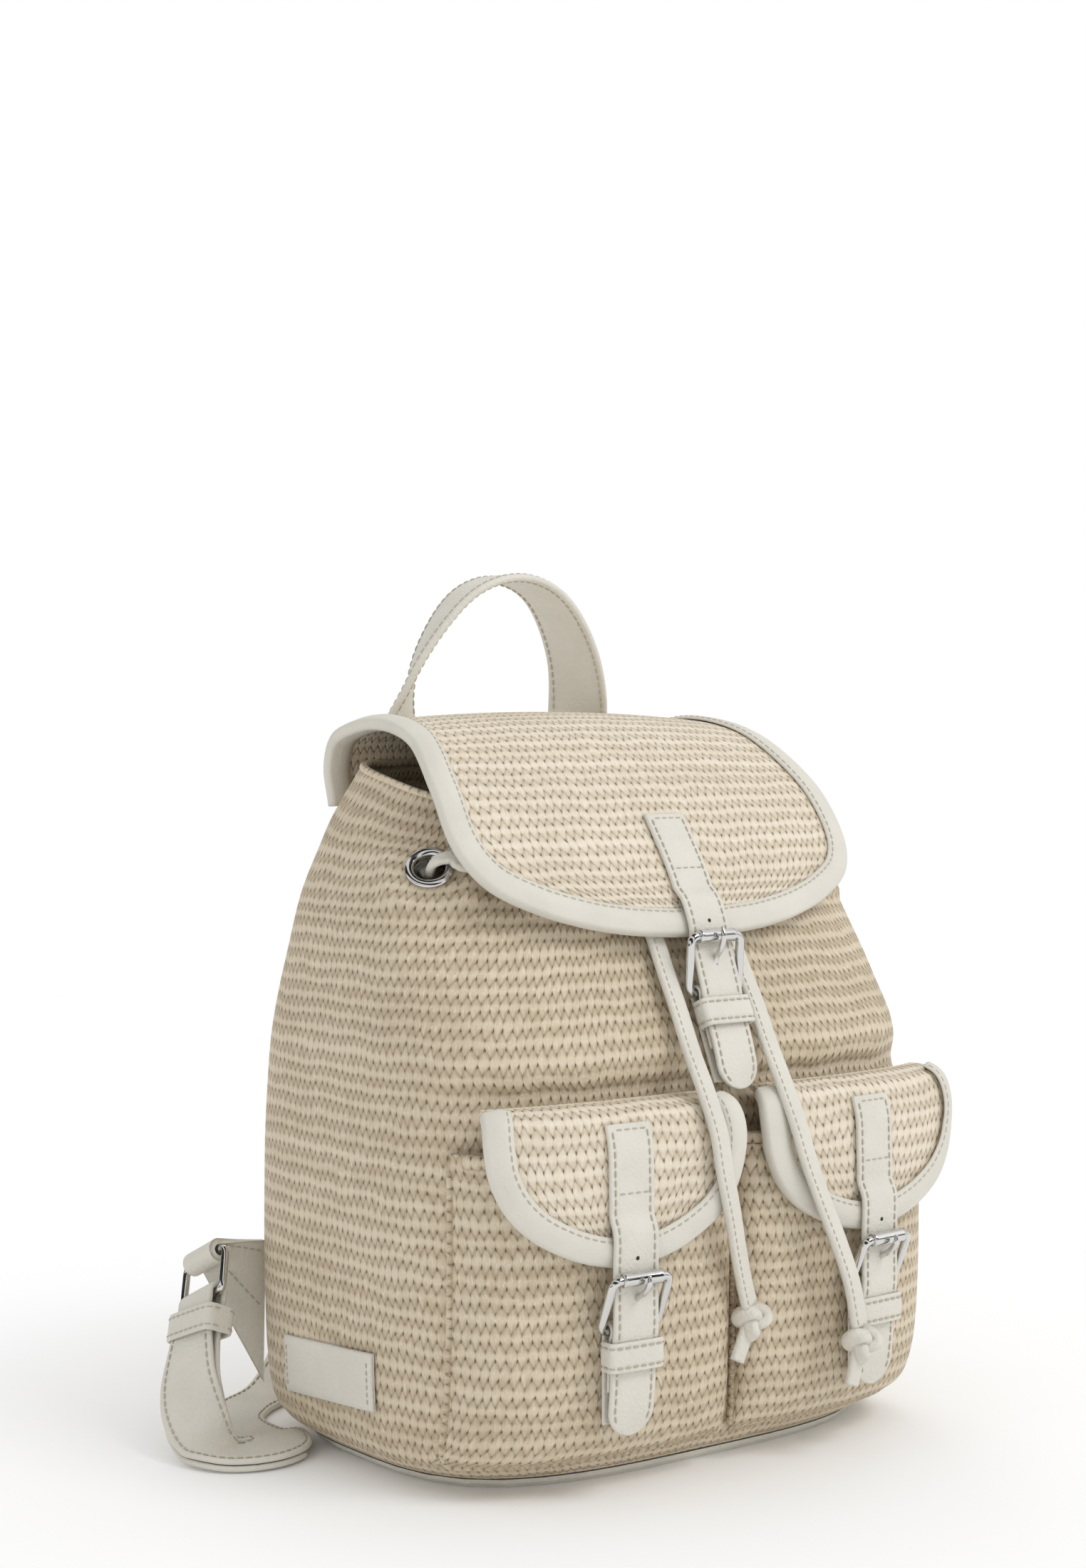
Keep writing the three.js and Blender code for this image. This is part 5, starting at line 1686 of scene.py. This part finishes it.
    def build_keeper(self, tab_upper: float, over: float) -> None:
        """Makes the leather loop that holds the strap's end, on a superellipse.

        Args:
            tab_upper: distance outwards of the tab's upper layer.
            over: from a layer of the tab to the strap on it.
        """
        inside = tab_upper - self.tab_thickness / 2 - GAP - self.keeper_wall / 2
        outside = tab_upper + over + 1.3 + self.strap_thickness / 2 + GAP + self.keeper_wall / 2
        side = self.strap_width / 2 + GAP + self.keeper_wall / 2 + 0.3
        pairs = rounded_box(side, (outside - inside) / 2, 0.28)
        line = np.stack([pairs[:, 0], -(inside + outside) / 2 - pairs[:, 1], np.full(72, self.keeper_low)], axis=1)
        frames = Frames.along(self.place(line), vec(0, 0, 1) @ self.turn.T, closed=True)
        lay_keeper(f"{self.name}_keeper", frames, (self.keeper_width, self.keeper_wall, 0.1, 1.85), 3.4, 0.1)


def find_row(height_at: Callable[[float], float], wanted: float) -> float:
    """Halves an interval until a falling height has the value wanted.

    Args:
        height_at: the height, for places from 0 to 1.
        wanted: the value.

    Returns:
        The place.
    """
    low, high = 0.0, 1.0
    if wanted <= height_at(high):
        return high
    for _ in range(24):
        half = (low + high) / 2
        low, high = (half, high) if height_at(half) > wanted else (low, half)
    return low


def closures(pocket: PocketShape, flap: MainFlapShape) -> list[Closure]:
    """The three closures, each in its place.

    Args:
        pocket: the pockets' shape.
        flap: the main flap's shape.

    Returns:
        The closures.
    """
    middle = (pocket.flap_tip + pocket.bottom) / 2 + 20
    base = float(BAG.front(pocket.centre, middle)) - pocket.face
    slope = float(BAG.front(pocket.centre + 1, middle) - BAG.front(pocket.centre - 1, middle)) / 2

    def beside_pocket(z: float) -> float:
        """How far the pocket's flap stands out from the closure's frame, at a height above its tip."""
        row = find_row(lambda v: float(pocket.flap(0, v)[2]), pocket.flap_tip + z)
        return base - float(pocket.flap(0, row)[1])

    found = []
    for side in Side:
        turn = turned(-side.value * math.degrees(math.atan(slope)), "z")
        origin = vec(-side.value * pocket.centre, base, pocket.flap_tip)
        found.append(Closure(f"pocket_{side.label}", origin, turn, beside_pocket))
    turn = turned(-24, "x")
    origin = flap.point(0, 1) + 6.4 * (turn @ vec(0, 1, 0))

    def beside_flap(z: float) -> float:
        """How far the main flap stands out from the closure's frame, at a height above its tip."""
        row = find_row(lambda v: float(((flap.point(0, v) - origin) @ turn)[2]), z)
        return -float(((flap.point(0, row) - origin) @ turn)[1])

    return [*found, Closure("flap", origin, turn, beside_flap)]


# ---- Drawstring


@dataclass
class Drawstring:
    """The cord in the neck and its two free ends with their knots."""

    width: float = 8
    thickness: float = 2.6
    pinched: float = 4.6
    loose: float = 1.9
    tails: tuple[tuple[Side, tuple[tuple[float, float, float], ...]], ...] = (
        (Side.LEFT, (
            (-17.5, -62.4, 203), (-18, -67.4, 194), (-18.3, -75, 180), (-19, -83, 167), (-20.5, -92, 153),
            (-21.5, -101, 140), (-21, -107.5, 126), (-19, -108.5, 112), (-15, -108, 97), (-9.5, -105, 82),
            (-4, -102, 69), (-0.5, -100.5, 61),
        )),
        (Side.RIGHT, (
            (17.5, -62.4, 203), (18, -67.4, 194), (18.3, -75, 180), (18.3, -83, 167), (17, -92, 153),
            (15.5, -101.5, 140), (16.5, -108, 126), (21, -109.5, 111), (27, -110, 97), (33.5, -111, 82),
            (39.5, -112, 66), (43, -112.5, 49.5),
        )),
    )

    def neck_points(self) -> Array:
        """The route of the cord in the neck, in and out of the eyelets.

        Between two eyelets it is their chord, lifted off the cloth and kept clear of it.

        Returns:
            Points of the route.
        """
        places = BAG.eyelets()
        order = [places[i] for i in (3, 2, 1, 0, 7, 6, 5, 4)]
        out_lift = 0.8 + GAP + 1.2 + 2.9 * GAP + self.thickness / 2
        in_lift = out_lift + BAG.wall
        turns = ((1, 0.6), (3.8, 1.03), (9.2, 1))  # distance from an eyelet, and share of the lift there
        points = [order[0][1] + order[0][2] * out_lift]
        for i, ((_, a, out_a), (_, b, out_b)) in enumerate(zip(order, order[1:])):
            outside = i % 2 == 1
            lift = out_lift if outside else -in_lift
            flat_a, flat_b = (unit(unit(b - a) - out * (unit(b - a) @ out)) for out in (out_a, out_b))
            points.append(a - out_a * BAG.wall / 2)
            points += [a + reach * flat_a + lift * rise * out_a for reach, rise in turns]
            steps = max(3, round(float(np.linalg.norm(a - b)) / 14))
            for t in np.linspace(0.9 / steps, 1 - 0.9 / steps, steps):
                chord = a + (b - a) * t + lift * unit(out_a + (out_b - out_a) * t)
                reach = math.hypot(chord[0], chord[1])
                clear = self.clear_of_cloth(math.degrees(math.atan2(chord[1], chord[0])) % 360)
                if outside and reach < clear:
                    chord[:2] *= clear / reach
                points.append(chord)
            points += [b - reach * flat_b + lift * rise * out_b for reach, rise in turns[::-1]]
        _, end, out_end = order[-1]
        return np.array([*points, end - out_end * BAG.wall / 2, end + out_end * out_lift])

    def clear_of_cloth(self, phi: float) -> float:
        """Distance from the bag's axis at which the cord's middle just clears the cloth.

        Args:
            phi: angle round the bag, in degrees.

        Returns:
            The distance.
        """
        levels = (BAG.eyelet_height + np.array([-0.5, 0, 0.5]) * self.width) / BAG.height
        cloth = BAG.body(np.full(3, phi), levels)
        return float(np.max(np.hypot(cloth[:, 0], cloth[:, 1]))) + self.thickness / 2 + self.loose

    def build_neck(self) -> None:
        """Makes the cord in the neck, with a stitch along its middle."""
        path, _ = spline(self.neck_points(), 520)
        phi = np.degrees(np.arctan2(path[:, 1], path[:, 0])) % 360
        level = BAG.eyelet_height / BAG.height
        widths = BAG.cloth(phi, np.full_like(phi, level + 0.03)) - BAG.cloth(phi, np.full_like(phi, level - 0.03))
        frames = Frames.along(path, widths)
        near = np.min([np.linalg.norm(path - middle, axis=1) for _, middle, _ in BAG.eyelets()], axis=0)
        width = self.pinched + (self.width - self.pinched) * smooth(near, 6, 14)
        section = narrowed(strip_section(self.width, self.thickness, 0.2), width / self.width)
        lay_strip("leather_drawstring_neck", frames, section, Finish.LEATHER)
        thread = Thread(pitch=3.0, length=2.1, radius=0.3)
        outward = np.sign(np.sum(frames.out[:, :2] * path[:, :2], axis=1)).mean()
        thread.line(frames.lifted(1.9, outward * (self.thickness / 2 + 0.2)))
        sew(thread, "stitches_drawstring_neck")

    def build_knot(self, side: Side, end: Array, down: Array) -> Object:
        """Makes the knot: the cord on a trefoil curve of sines and cosines, with its cut end below it.

        Args:
            side: the side of the bag.
            end: the cord's last point.
            down: the cord's direction there.

        Returns:
            The knot.
        """
        t = np.linspace(0, 2 * np.pi, 160, endpoint=False)
        loop = np.stack([np.sin(t) + 2 * np.sin(2 * t), -np.sin(3 * t) * 1.15, np.cos(t) - 2 * np.cos(2 * t)], axis=1)
        loop *= np.array([2.0, 1.9, 1.75])
        centre = end + down * (GAP + 6.5)
        path = loop + centre
        frames = Frames.along(path, unit(loop * [0.4, 1.6, 0.4]) * 0.7 + vec(0, 1, 0), closed=True)
        section = strip_section(6.2, 3.4, 0.4)
        knot = sweep(f"leather_knot_{side.label}", frames, section, Finish.LEATHER.material, closed=True)
        tilt = vec(-0.42, 0, -0.9) if side is Side.LEFT else vec(-0.29, 0, -0.95)
        tail = centre + np.linspace(2.5, 15.4, 14)[:, None] * unit(tilt)
        tail[:, 0] += -1.2
        lead = Frames.along(tail, vec(1, 0, 0))
        section = strip_section(6.4, self.thickness, 0.2)
        drop = sweep(f"leather_cord_end_{side.label}", lead, section, Finish.LEATHER.material)
        drop.parent = knot
        return knot

    def build_tails(self) -> None:
        for side, route in self.tails:
            path, _ = spline(np.array(route, dtype=float), 120)
            front = np.stack([np.zeros(121), -np.ones(121), np.full(121, 0.4)], axis=1)
            widths = np.cross(np.gradient(path, axis=0), front)
            frames = Frames.along(path, widths)
            name = f"drawstring_tail_{side.label}"
            section = strip_section(self.width, self.thickness, 0.25)
            tail = sweep(f"leather_{name}", frames, section, Finish.LEATHER.material)
            knot = self.build_knot(side, path[-1], unit(path[-1] - path[-3]))
            seat(tail, Finish.LEATHER, name)
            seat(knot, Finish.LEATHER, f"drawstring_knot_{side.label}")
            thread = Thread(pitch=3.0, length=2.1, radius=0.3)
            outward = -np.sign(frames.out[:, 1]).mean()
            thread.line(frames.lifted(1.9, outward * (self.thickness / 2 + 0.2)))
            stitches = sew(thread, f"stitches_{name}")

    def build(self) -> None:
        """Makes the whole drawstring."""
        self.build_tails()
        self.build_neck()


# ---- Handle, label, rings, gussets and shoulder straps


@dataclass
class Handle:
    """The carrying loop."""

    width: float = 25
    thickness: float = 3
    top: float = 332
    route: tuple[tuple[float, float, float], ...] = (
        (-42, 64.2, 243), (-44, 64.6, 256), (-45, 60, 272), (-38, 54, 300), (-20, 50, 324),
    )
    widths: Table = Table(
        ("at", "x", "y"), ((0, 1, 0), (0.1, 0.95, 0.3), (0.2, 0.6, 0.8), (0.35, 0.25, 1), (0.5, 0, 1)),
    )

    def build(self) -> None:
        """Makes the loop with its stitched borders."""
        left = np.array(self.route, dtype=float)
        right = left[::-1] * [-1, 1, 1]
        path, _ = spline(np.vstack([left, [[0, 49, self.top - self.thickness / 2]], right]), 200)
        t = np.linspace(0, 1, 201)
        near = np.minimum(t, 1 - t)
        sign = np.where(t > 0.5, -1, 1)
        widths = np.stack([self.widths.column("x", near) * sign, self.widths.column("y", near), np.zeros(201)], axis=1)
        frames = Frames.along(path, widths)
        lay_strip("leather_handle", frames, strip_section(self.width, self.thickness, 0.1, 2.4), Finish.LEATHER)
        thread = Thread()
        for side in (-1, 1):
            for face in (-1, 1):
                thread.line(frames.lifted(side * (self.width / 2 - 2.4), face * (self.thickness / 2 + 0.1)))
        for i in (3, 12, -13, -4):
            for face in (-1, 1):
                thread.cross(frames, i, 10, face * (self.thickness / 2 + 0.1))
        sew(thread, "stitches_handle")


@dataclass
class Label:
    """The bare leather patch on the left side."""

    start: float = -33
    low: float = 22
    rise: float = 0.07
    length: float = 60
    height: float = 21
    thickness: float = 1.4

    def point(self, u: Array, v: Array, lift: float) -> Array:
        """A point of the patch, which lies on the bag's side.

        Args:
            u: 0 to 1 from front to back.
            v: 0 at the low edge and 1 at the upper one.
            lift: distance from its underside.

        Returns:
            The points.
        """
        u, v = np.broadcast_arrays(np.asarray(u, float), np.asarray(v, float))
        y = self.start + self.length * u
        z = self.low + self.height * v + self.rise * self.length * (1 - u)
        return np.stack([-BAG.side(y, z) - 2 * GAP - lift, y, z], axis=-1)

    def build(self) -> None:
        """Makes the patch, with stitches at both short ends."""
        us, vs = np.linspace(0, 1, 60)[:, None], np.linspace(0, 1, 24)[None, :]
        edge = np.minimum(np.minimum(us, 1 - us) * self.length, np.minimum(vs, 1 - vs) * self.height)
        soft = self.thickness * (0.45 + 0.55 * smooth(edge, 0, 1.4))
        outer = self.point(us, vs, 0)
        outer[..., 0] -= soft
        lay_sheet("leather_label_patch", self.point(us, vs, 0)[::-1], outer[::-1], Finish.LEATHER)
        thread = Thread(pitch=2.6, length=1.8)
        for u in (0.045, 0.955):
            thread.line(self.point(np.full(12, u), np.linspace(0.08, 0.94, 12), self.thickness + 0.1))
        sew(thread, "stitches_label")


@dataclass
class SideStrap:
    """Gusset, ring, shoulder strap and keeper on one side."""

    side: Side
    ring_wire: float = 3
    ring_length: float = 32
    ring_height: float = 20
    strap_width: float = 24
    strap_thickness: float = 2.2
    gusset_thickness: float = 2.4
    gusset_wrap: float = 280  # degrees that the gusset turns round the ring's bar
    lap_at_keeper: float = 5.7
    keeper_width: float = 10.5
    keeper_wall: float = 1.3
    lap: float = 2.55  # between the middles of the strap's two layers
    route: tuple[tuple[float, ...], ...] = (
        (-32, 69.5, 232, -0.5, 0, 0.85), (-49, 74, 221, -0.6, 0, 0.75), (-64, 84, 196, -0.93, 0, 0.3),
        (-69, 94, 150, -1, 0.1, 0), (-68, 97, 100, -0.9, 0.45, 0), (-66, 97, 50, -0.7, 0.7, 0),
        (-71, 96, 17, -0.6, 0.8, 0), (-85, 92, 3.6, -0.35, 0.94, 0), (-104, 82, 1.6, -0.5, 0.85, 0),
        (-117, 68, 1.6, -0.85, 0.5, 0), (-120.5, 54, 1.6, -1, 0, 0), (-120.5, 41, 2, -1, 0, 0),
        (-120.5, 31, 4.4, -1, 0, 0), (-124.8, 20.7, 4.4, -0.7, 0.7, 0), (-135, 16.5, 4.4, 0, 1, 0),
        (-145.2, 20.7, 4.4, 0.7, 0.7, 0), (-149.5, 30, 7, 1, 0, 0.1), (-150.5, 38, 15, 0.85, -0.3, 0.35),
        (-149, 45.5, 25, 0.55, -0.6, 0.4), (-145.5, 51, 35, 0.3, -0.85, 0.35),
    )

    def __post_init__(self) -> None:
        """Works out the ring's place and directions."""
        self.corner = BAG.body(np.array(180.0 - BAG.seam_angle), np.array(0.2))
        self.upper = vec(-129.7, 66.4, 66.5)
        self.along = unit(vec(-0.07, 0.9, -0.43))
        down = vec(-0.34, -0.45, -0.825)
        self.down = unit(down - self.along * (down @ self.along))
        self.span = self.ring_height - self.ring_wire
        self.lower = self.upper + self.down * self.span
        self.out = unit(np.cross(self.along, self.down))

    def build_ring(self) -> None:
        """Makes the ring."""
        half = (self.ring_length - self.ring_wire) / 2
        flat = wire_ring([(-half, 0), (half, 0), (half, self.span), (-half, self.span)], 3.4)
        points = self.lower + flat[:, :1] * self.along - flat[:, 2:] * self.down
        frames = Frames.along(points, self.out, closed=True).mirrored(self.side)
        section = round_section(self.ring_wire / 2)
        lay_strip(f"metal_ring_{self.side.label}", frames, section, Finish.METAL, closed=True)

    def gusset_points(self, u: Array, v: Array) -> Array:
        """Middle of the gusset's sheet, straight from the seam to the ring's bar and then on an arc round the bar.

        Args:
            u: 0 at the seam, 0.5 on the bar and 1 at the end of the arc.
            v: 0 at the foot and 1 at the top.

        Returns:
            The points, in the shape of u and v.
        """
        u, v = np.broadcast_arrays(np.asarray(u, float)[..., None], np.asarray(v, float)[..., None])
        seam = self.corner * [1, 1, 0] + vec(-1.3, 1.9, 16) + vec(0, 0, 55) * v
        bar = self.upper + self.along * (20 * (0.5 - v))
        towards = seam - bar
        towards = unit(towards - self.along * (towards @ self.along)[..., None])
        above = unit(np.cross(towards, self.along))
        above = np.where(above[..., 2:] < 0, -above, above) * (self.ring_wire / 2 + 2 * GAP + self.gusset_thickness / 2)
        towards = towards * np.linalg.norm(above, axis=-1, keepdims=True)
        angle = np.radians(self.gusset_wrap * (2 * u - 1))
        straight = seam + (bar + above - seam) * 2 * u
        return np.where(u <= 0.5, straight, bar + above * np.cos(angle) - towards * np.sin(angle))

    def build_gusset(self) -> None:
        """Makes the gusset and its stitches."""
        us = np.concatenate([np.linspace(0, 0.5, 40), np.linspace(0.5, 1, 60)[1:]])
        vs = np.linspace(0, 1, 30)
        middle = self.gusset_points(us[:, None], vs[None, :])
        half = self.gusset_thickness / 2 * surface_normals(middle)
        outer, inner = mirrored(middle + half, self.side), mirrored(middle - half, self.side)
        lay_sheet(f"leather_gusset_{self.side.label}", outer, inner, Finish.LEATHER)
        thread = Thread()
        out = unit(half)
        for v in (0.52, 0.93):
            line = self.gusset_points(np.linspace(0.02, 0.47, 40), np.full(40, v))
            for sign in (-1, 1):
                thread.line(line + sign * (self.gusset_thickness / 2 + 0.12) * out[20, round(v * 29)])
        sew(thread, f"stitches_gusset_{self.side.label}", self.side)

    def strap_frames(self) -> tuple[Frames, Frames]:
        """Works out where the strap runs: to the ring, half round its bar, and back beneath itself.

        Returns:
            Frames of the run to the ring, and of the whole strap.
        """
        radius = self.ring_wire / 2 + GAP + self.strap_thickness / 2
        across = -self.along
        rows = np.array(self.route, dtype=float)
        front, behind_ring = self.lower + self.out * radius, self.lower - self.out * radius
        points = np.vstack([rows[:, :3], front + self.down * 6])
        path, wide = spline(points, STRAP_STEPS, np.vstack([rows[:, 3:], across]))
        to_ring = Frames.along(path, wide)
        pairs = turning(np.linspace(0, 180, 25))
        away = self.out * pairs[:, :1] - self.down * pairs[:, 1:]
        shares = np.linspace(0, 1, STRAP_STEPS + 1)
        back = slice(STRAP_STEPS - 1, int(np.argmax(shares > 0.8)), -1)
        behind = (1 - shares[back])[:, None] * 433 / 8
        offset = self.lap + (2 * radius - self.lap) * np.exp(-(behind / 1.5))
        return_run = to_ring.at[back] - offset * to_ring.out[back]
        leaving = [behind_ring + self.down * 3, behind_ring + self.down * 6]
        turn = [front + self.down * 3, *(self.lower + away * radius), *leaving]
        outs = np.vstack([to_ring.out, self.out[None], away, -np.tile(self.out, (2, 1)), -to_ring.out[back]])
        widths = np.vstack([to_ring.across, np.tile(across, (len(turn), 1)), to_ring.across[back]])
        return to_ring, Frames(np.vstack([to_ring.at, turn, return_run]), widths, outs)

    def build_strap(self) -> None:
        """Makes the shoulder strap, its stitches and its keeper."""
        to_ring, whole = self.strap_frames()
        name = f"shoulder_strap_{self.side.label}"
        section = strip_section(self.strap_width, self.strap_thickness, 0.1, 2.3)
        lay_strip(f"leather_{name}", whole.mirrored(self.side), section, Finish.LEATHER)
        thread = Thread()
        lift = self.strap_thickness / 2 + 0.1
        way = np.gradient(to_ring.at, axis=0)
        for face in (-1, 1):
            for sign in (-1, 1):
                line = to_ring.lifted(sign * (self.strap_width / 2 - 2.3), face * lift)
                forward = np.sum(np.gradient(line, axis=0) * way, axis=1) > 0.45 * np.sum(way * way, axis=1)
                thread.line(line[forward])
            for i in (2, 14):
                thread.cross(to_ring, i, 9.5, face * lift)
        sew(thread, f"stitches_{name}", self.side)
        self.build_keeper(to_ring)

    def build_keeper(self, strap: Frames) -> None:
        """Makes the loop round both layers of the strap, on a superellipse.

        Args:
            strap: frames of the run to the ring.
        """
        i = STRAP_STEPS - 3
        at, across, out = strap.at[i], strap.across[i], strap.out[i]
        middle = at - out * (self.lap_at_keeper / 2 + GAP)
        clear = 4 * GAP + self.keeper_wall / 2
        wide, deep = self.strap_width / 2, (self.lap_at_keeper + self.strap_thickness) / 2
        pairs = rounded_box(wide + clear, deep + clear, 0.3)
        points = middle + pairs[:, :1] * across + pairs[:, 1:] * out
        frames = Frames.along(points, unit(np.cross(across, out)), closed=True)
        sizes = (self.keeper_width, self.keeper_wall)
        lay_keeper(f"shoulder_keeper_{self.side.label}", frames, sizes, 3.3, 0.1, self.side)

    def build(self) -> None:
        """Makes everything on this side."""
        self.build_ring()
        self.build_gusset()
        self.build_strap()


# ---- Studio


@dataclass(frozen=True)
class Studio:
    """Camera at the photograph's place, soft lights and a white floor."""

    picture: tuple[int, int] = (1524, 2200)
    focal_pixels: float = 3567
    horizon: float = 1025
    distance: float = 1000
    height: float = 268.5
    aside: float = -14.5
    azimuth: float = -36.97
    sky: float = 0.8  # light of the surroundings on the bag

    def build_camera(self) -> None:
        """Puts the camera level at the photograph's height, with the picture moved down instead of tilted."""
        a = math.radians(self.azimuth)
        right, ahead = vec(math.cos(a), math.sin(a), 0), vec(-math.sin(a), math.cos(a), 0)
        data = bpy.data.cameras.new("camera")
        data.sensor_fit = "VERTICAL"
        data.sensor_height = 24.0
        data.lens = self.focal_pixels / self.picture[1] * data.sensor_height
        data.shift_y = -(self.picture[1] / 2 - self.horizon) / self.picture[1]
        data.clip_start = 0.01
        camera = bpy.data.objects.new("camera", data)
        place = -self.distance * ahead + self.aside * right + vec(0, 0, self.height)
        camera.location = tuple(place * MM)
        camera.rotation_euler = (math.pi / 2, 0, a)
        bpy.context.collection.objects.link(camera)
        bpy.context.scene.camera = camera

    def build_light(self, name: str, place: Array, size: float, power: float) -> None:
        """Makes a soft light that faces the bag.

        Args:
            name: its name.
            place: where it stands, in metres.
            size: its width in metres.
            power: its power in watts.
        """
        data = bpy.data.lights.new(name, "AREA")
        data.size = size
        data.energy = power
        light = bpy.data.objects.new(name, data)
        light.location = tuple(place)
        aim = unit(vec(0, 0, 0.15) - place)
        light.rotation_euler = (math.acos(-aim[2]), 0, math.atan2(aim[1], aim[0]) - math.pi / 2)
        bpy.context.collection.objects.link(light)

    def build(self) -> None:
        """Makes the floor, the lights and the surroundings."""
        size = 30.0
        corners = np.array([[-size, -size, 0], [size, -size, 0], [size, size, 0], [-size, size, 0]]) / MM
        floor = make_object("floor", corners, np.array([[0, 1, 2, 3]]), None, Finish.FLOOR.material)
        self.build_light("key", vec(0.7, -1.6, 1.9), 0.9, 16)
        self.build_light("fill", vec(1.7, -1.3, 1.2), 1.6, 3)
        self.build_light("rim", vec(0.6, 1.6, 1.6), 1.2, 5)
        world = bpy.data.worlds.new("studio")
        world.use_nodes = True
        n = Nodes(world.node_tree)
        background = world.node_tree.nodes["Background"]
        way = n.add("ShaderNodeTexCoord").outputs["Generated"]
        split = n.add("ShaderNodeSeparateXYZ")
        n.put(split.inputs[0], way)
        across = n.math("ADD", n.math("MULTIPLY", split.outputs[0], 7.0), n.math("MULTIPLY", split.outputs[2], 5.0))
        card = n.ramp(n.math("SINE", across), 0.05, 0.6, 0.03, 1.05)
        path = n.add("ShaderNodeLightPath")
        n.put(background.inputs[0], n.mix(path.outputs["Is Glossy Ray"], (1, 1, 1, 1), card))
        n.put(background.inputs[1], n.ramp(path.outputs["Is Camera Ray"], 0.0, 1.0, self.sky, 1.0))
        scene = bpy.context.scene
        scene.world = world
        scene.view_settings.view_transform = "Standard"


def main() -> None:
    """Builds the backpack over the CAD frame."""
    logging.basicConfig(level=logging.INFO, format="%(name)s: %(message)s")
    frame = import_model()
    studio = Studio()
    studio.build_camera()
    Drawstring().build()
    Body().build(frame["nodes"])
    flap = MainFlapShape()
    pocket = PocketShape()
    Flap(flap.point, "flap", "flap_edging", Finish.STRAW_FLAP, 0.0, GAP / 2).build()
    for side in Side:
        Pocket(pocket, side).build()
        SideStrap(side).build()
    for closure in closures(pocket, flap):
        closure.build()
    Handle().build()
    Label().build()
    studio.build()


if __name__ == "__main__":
    main()
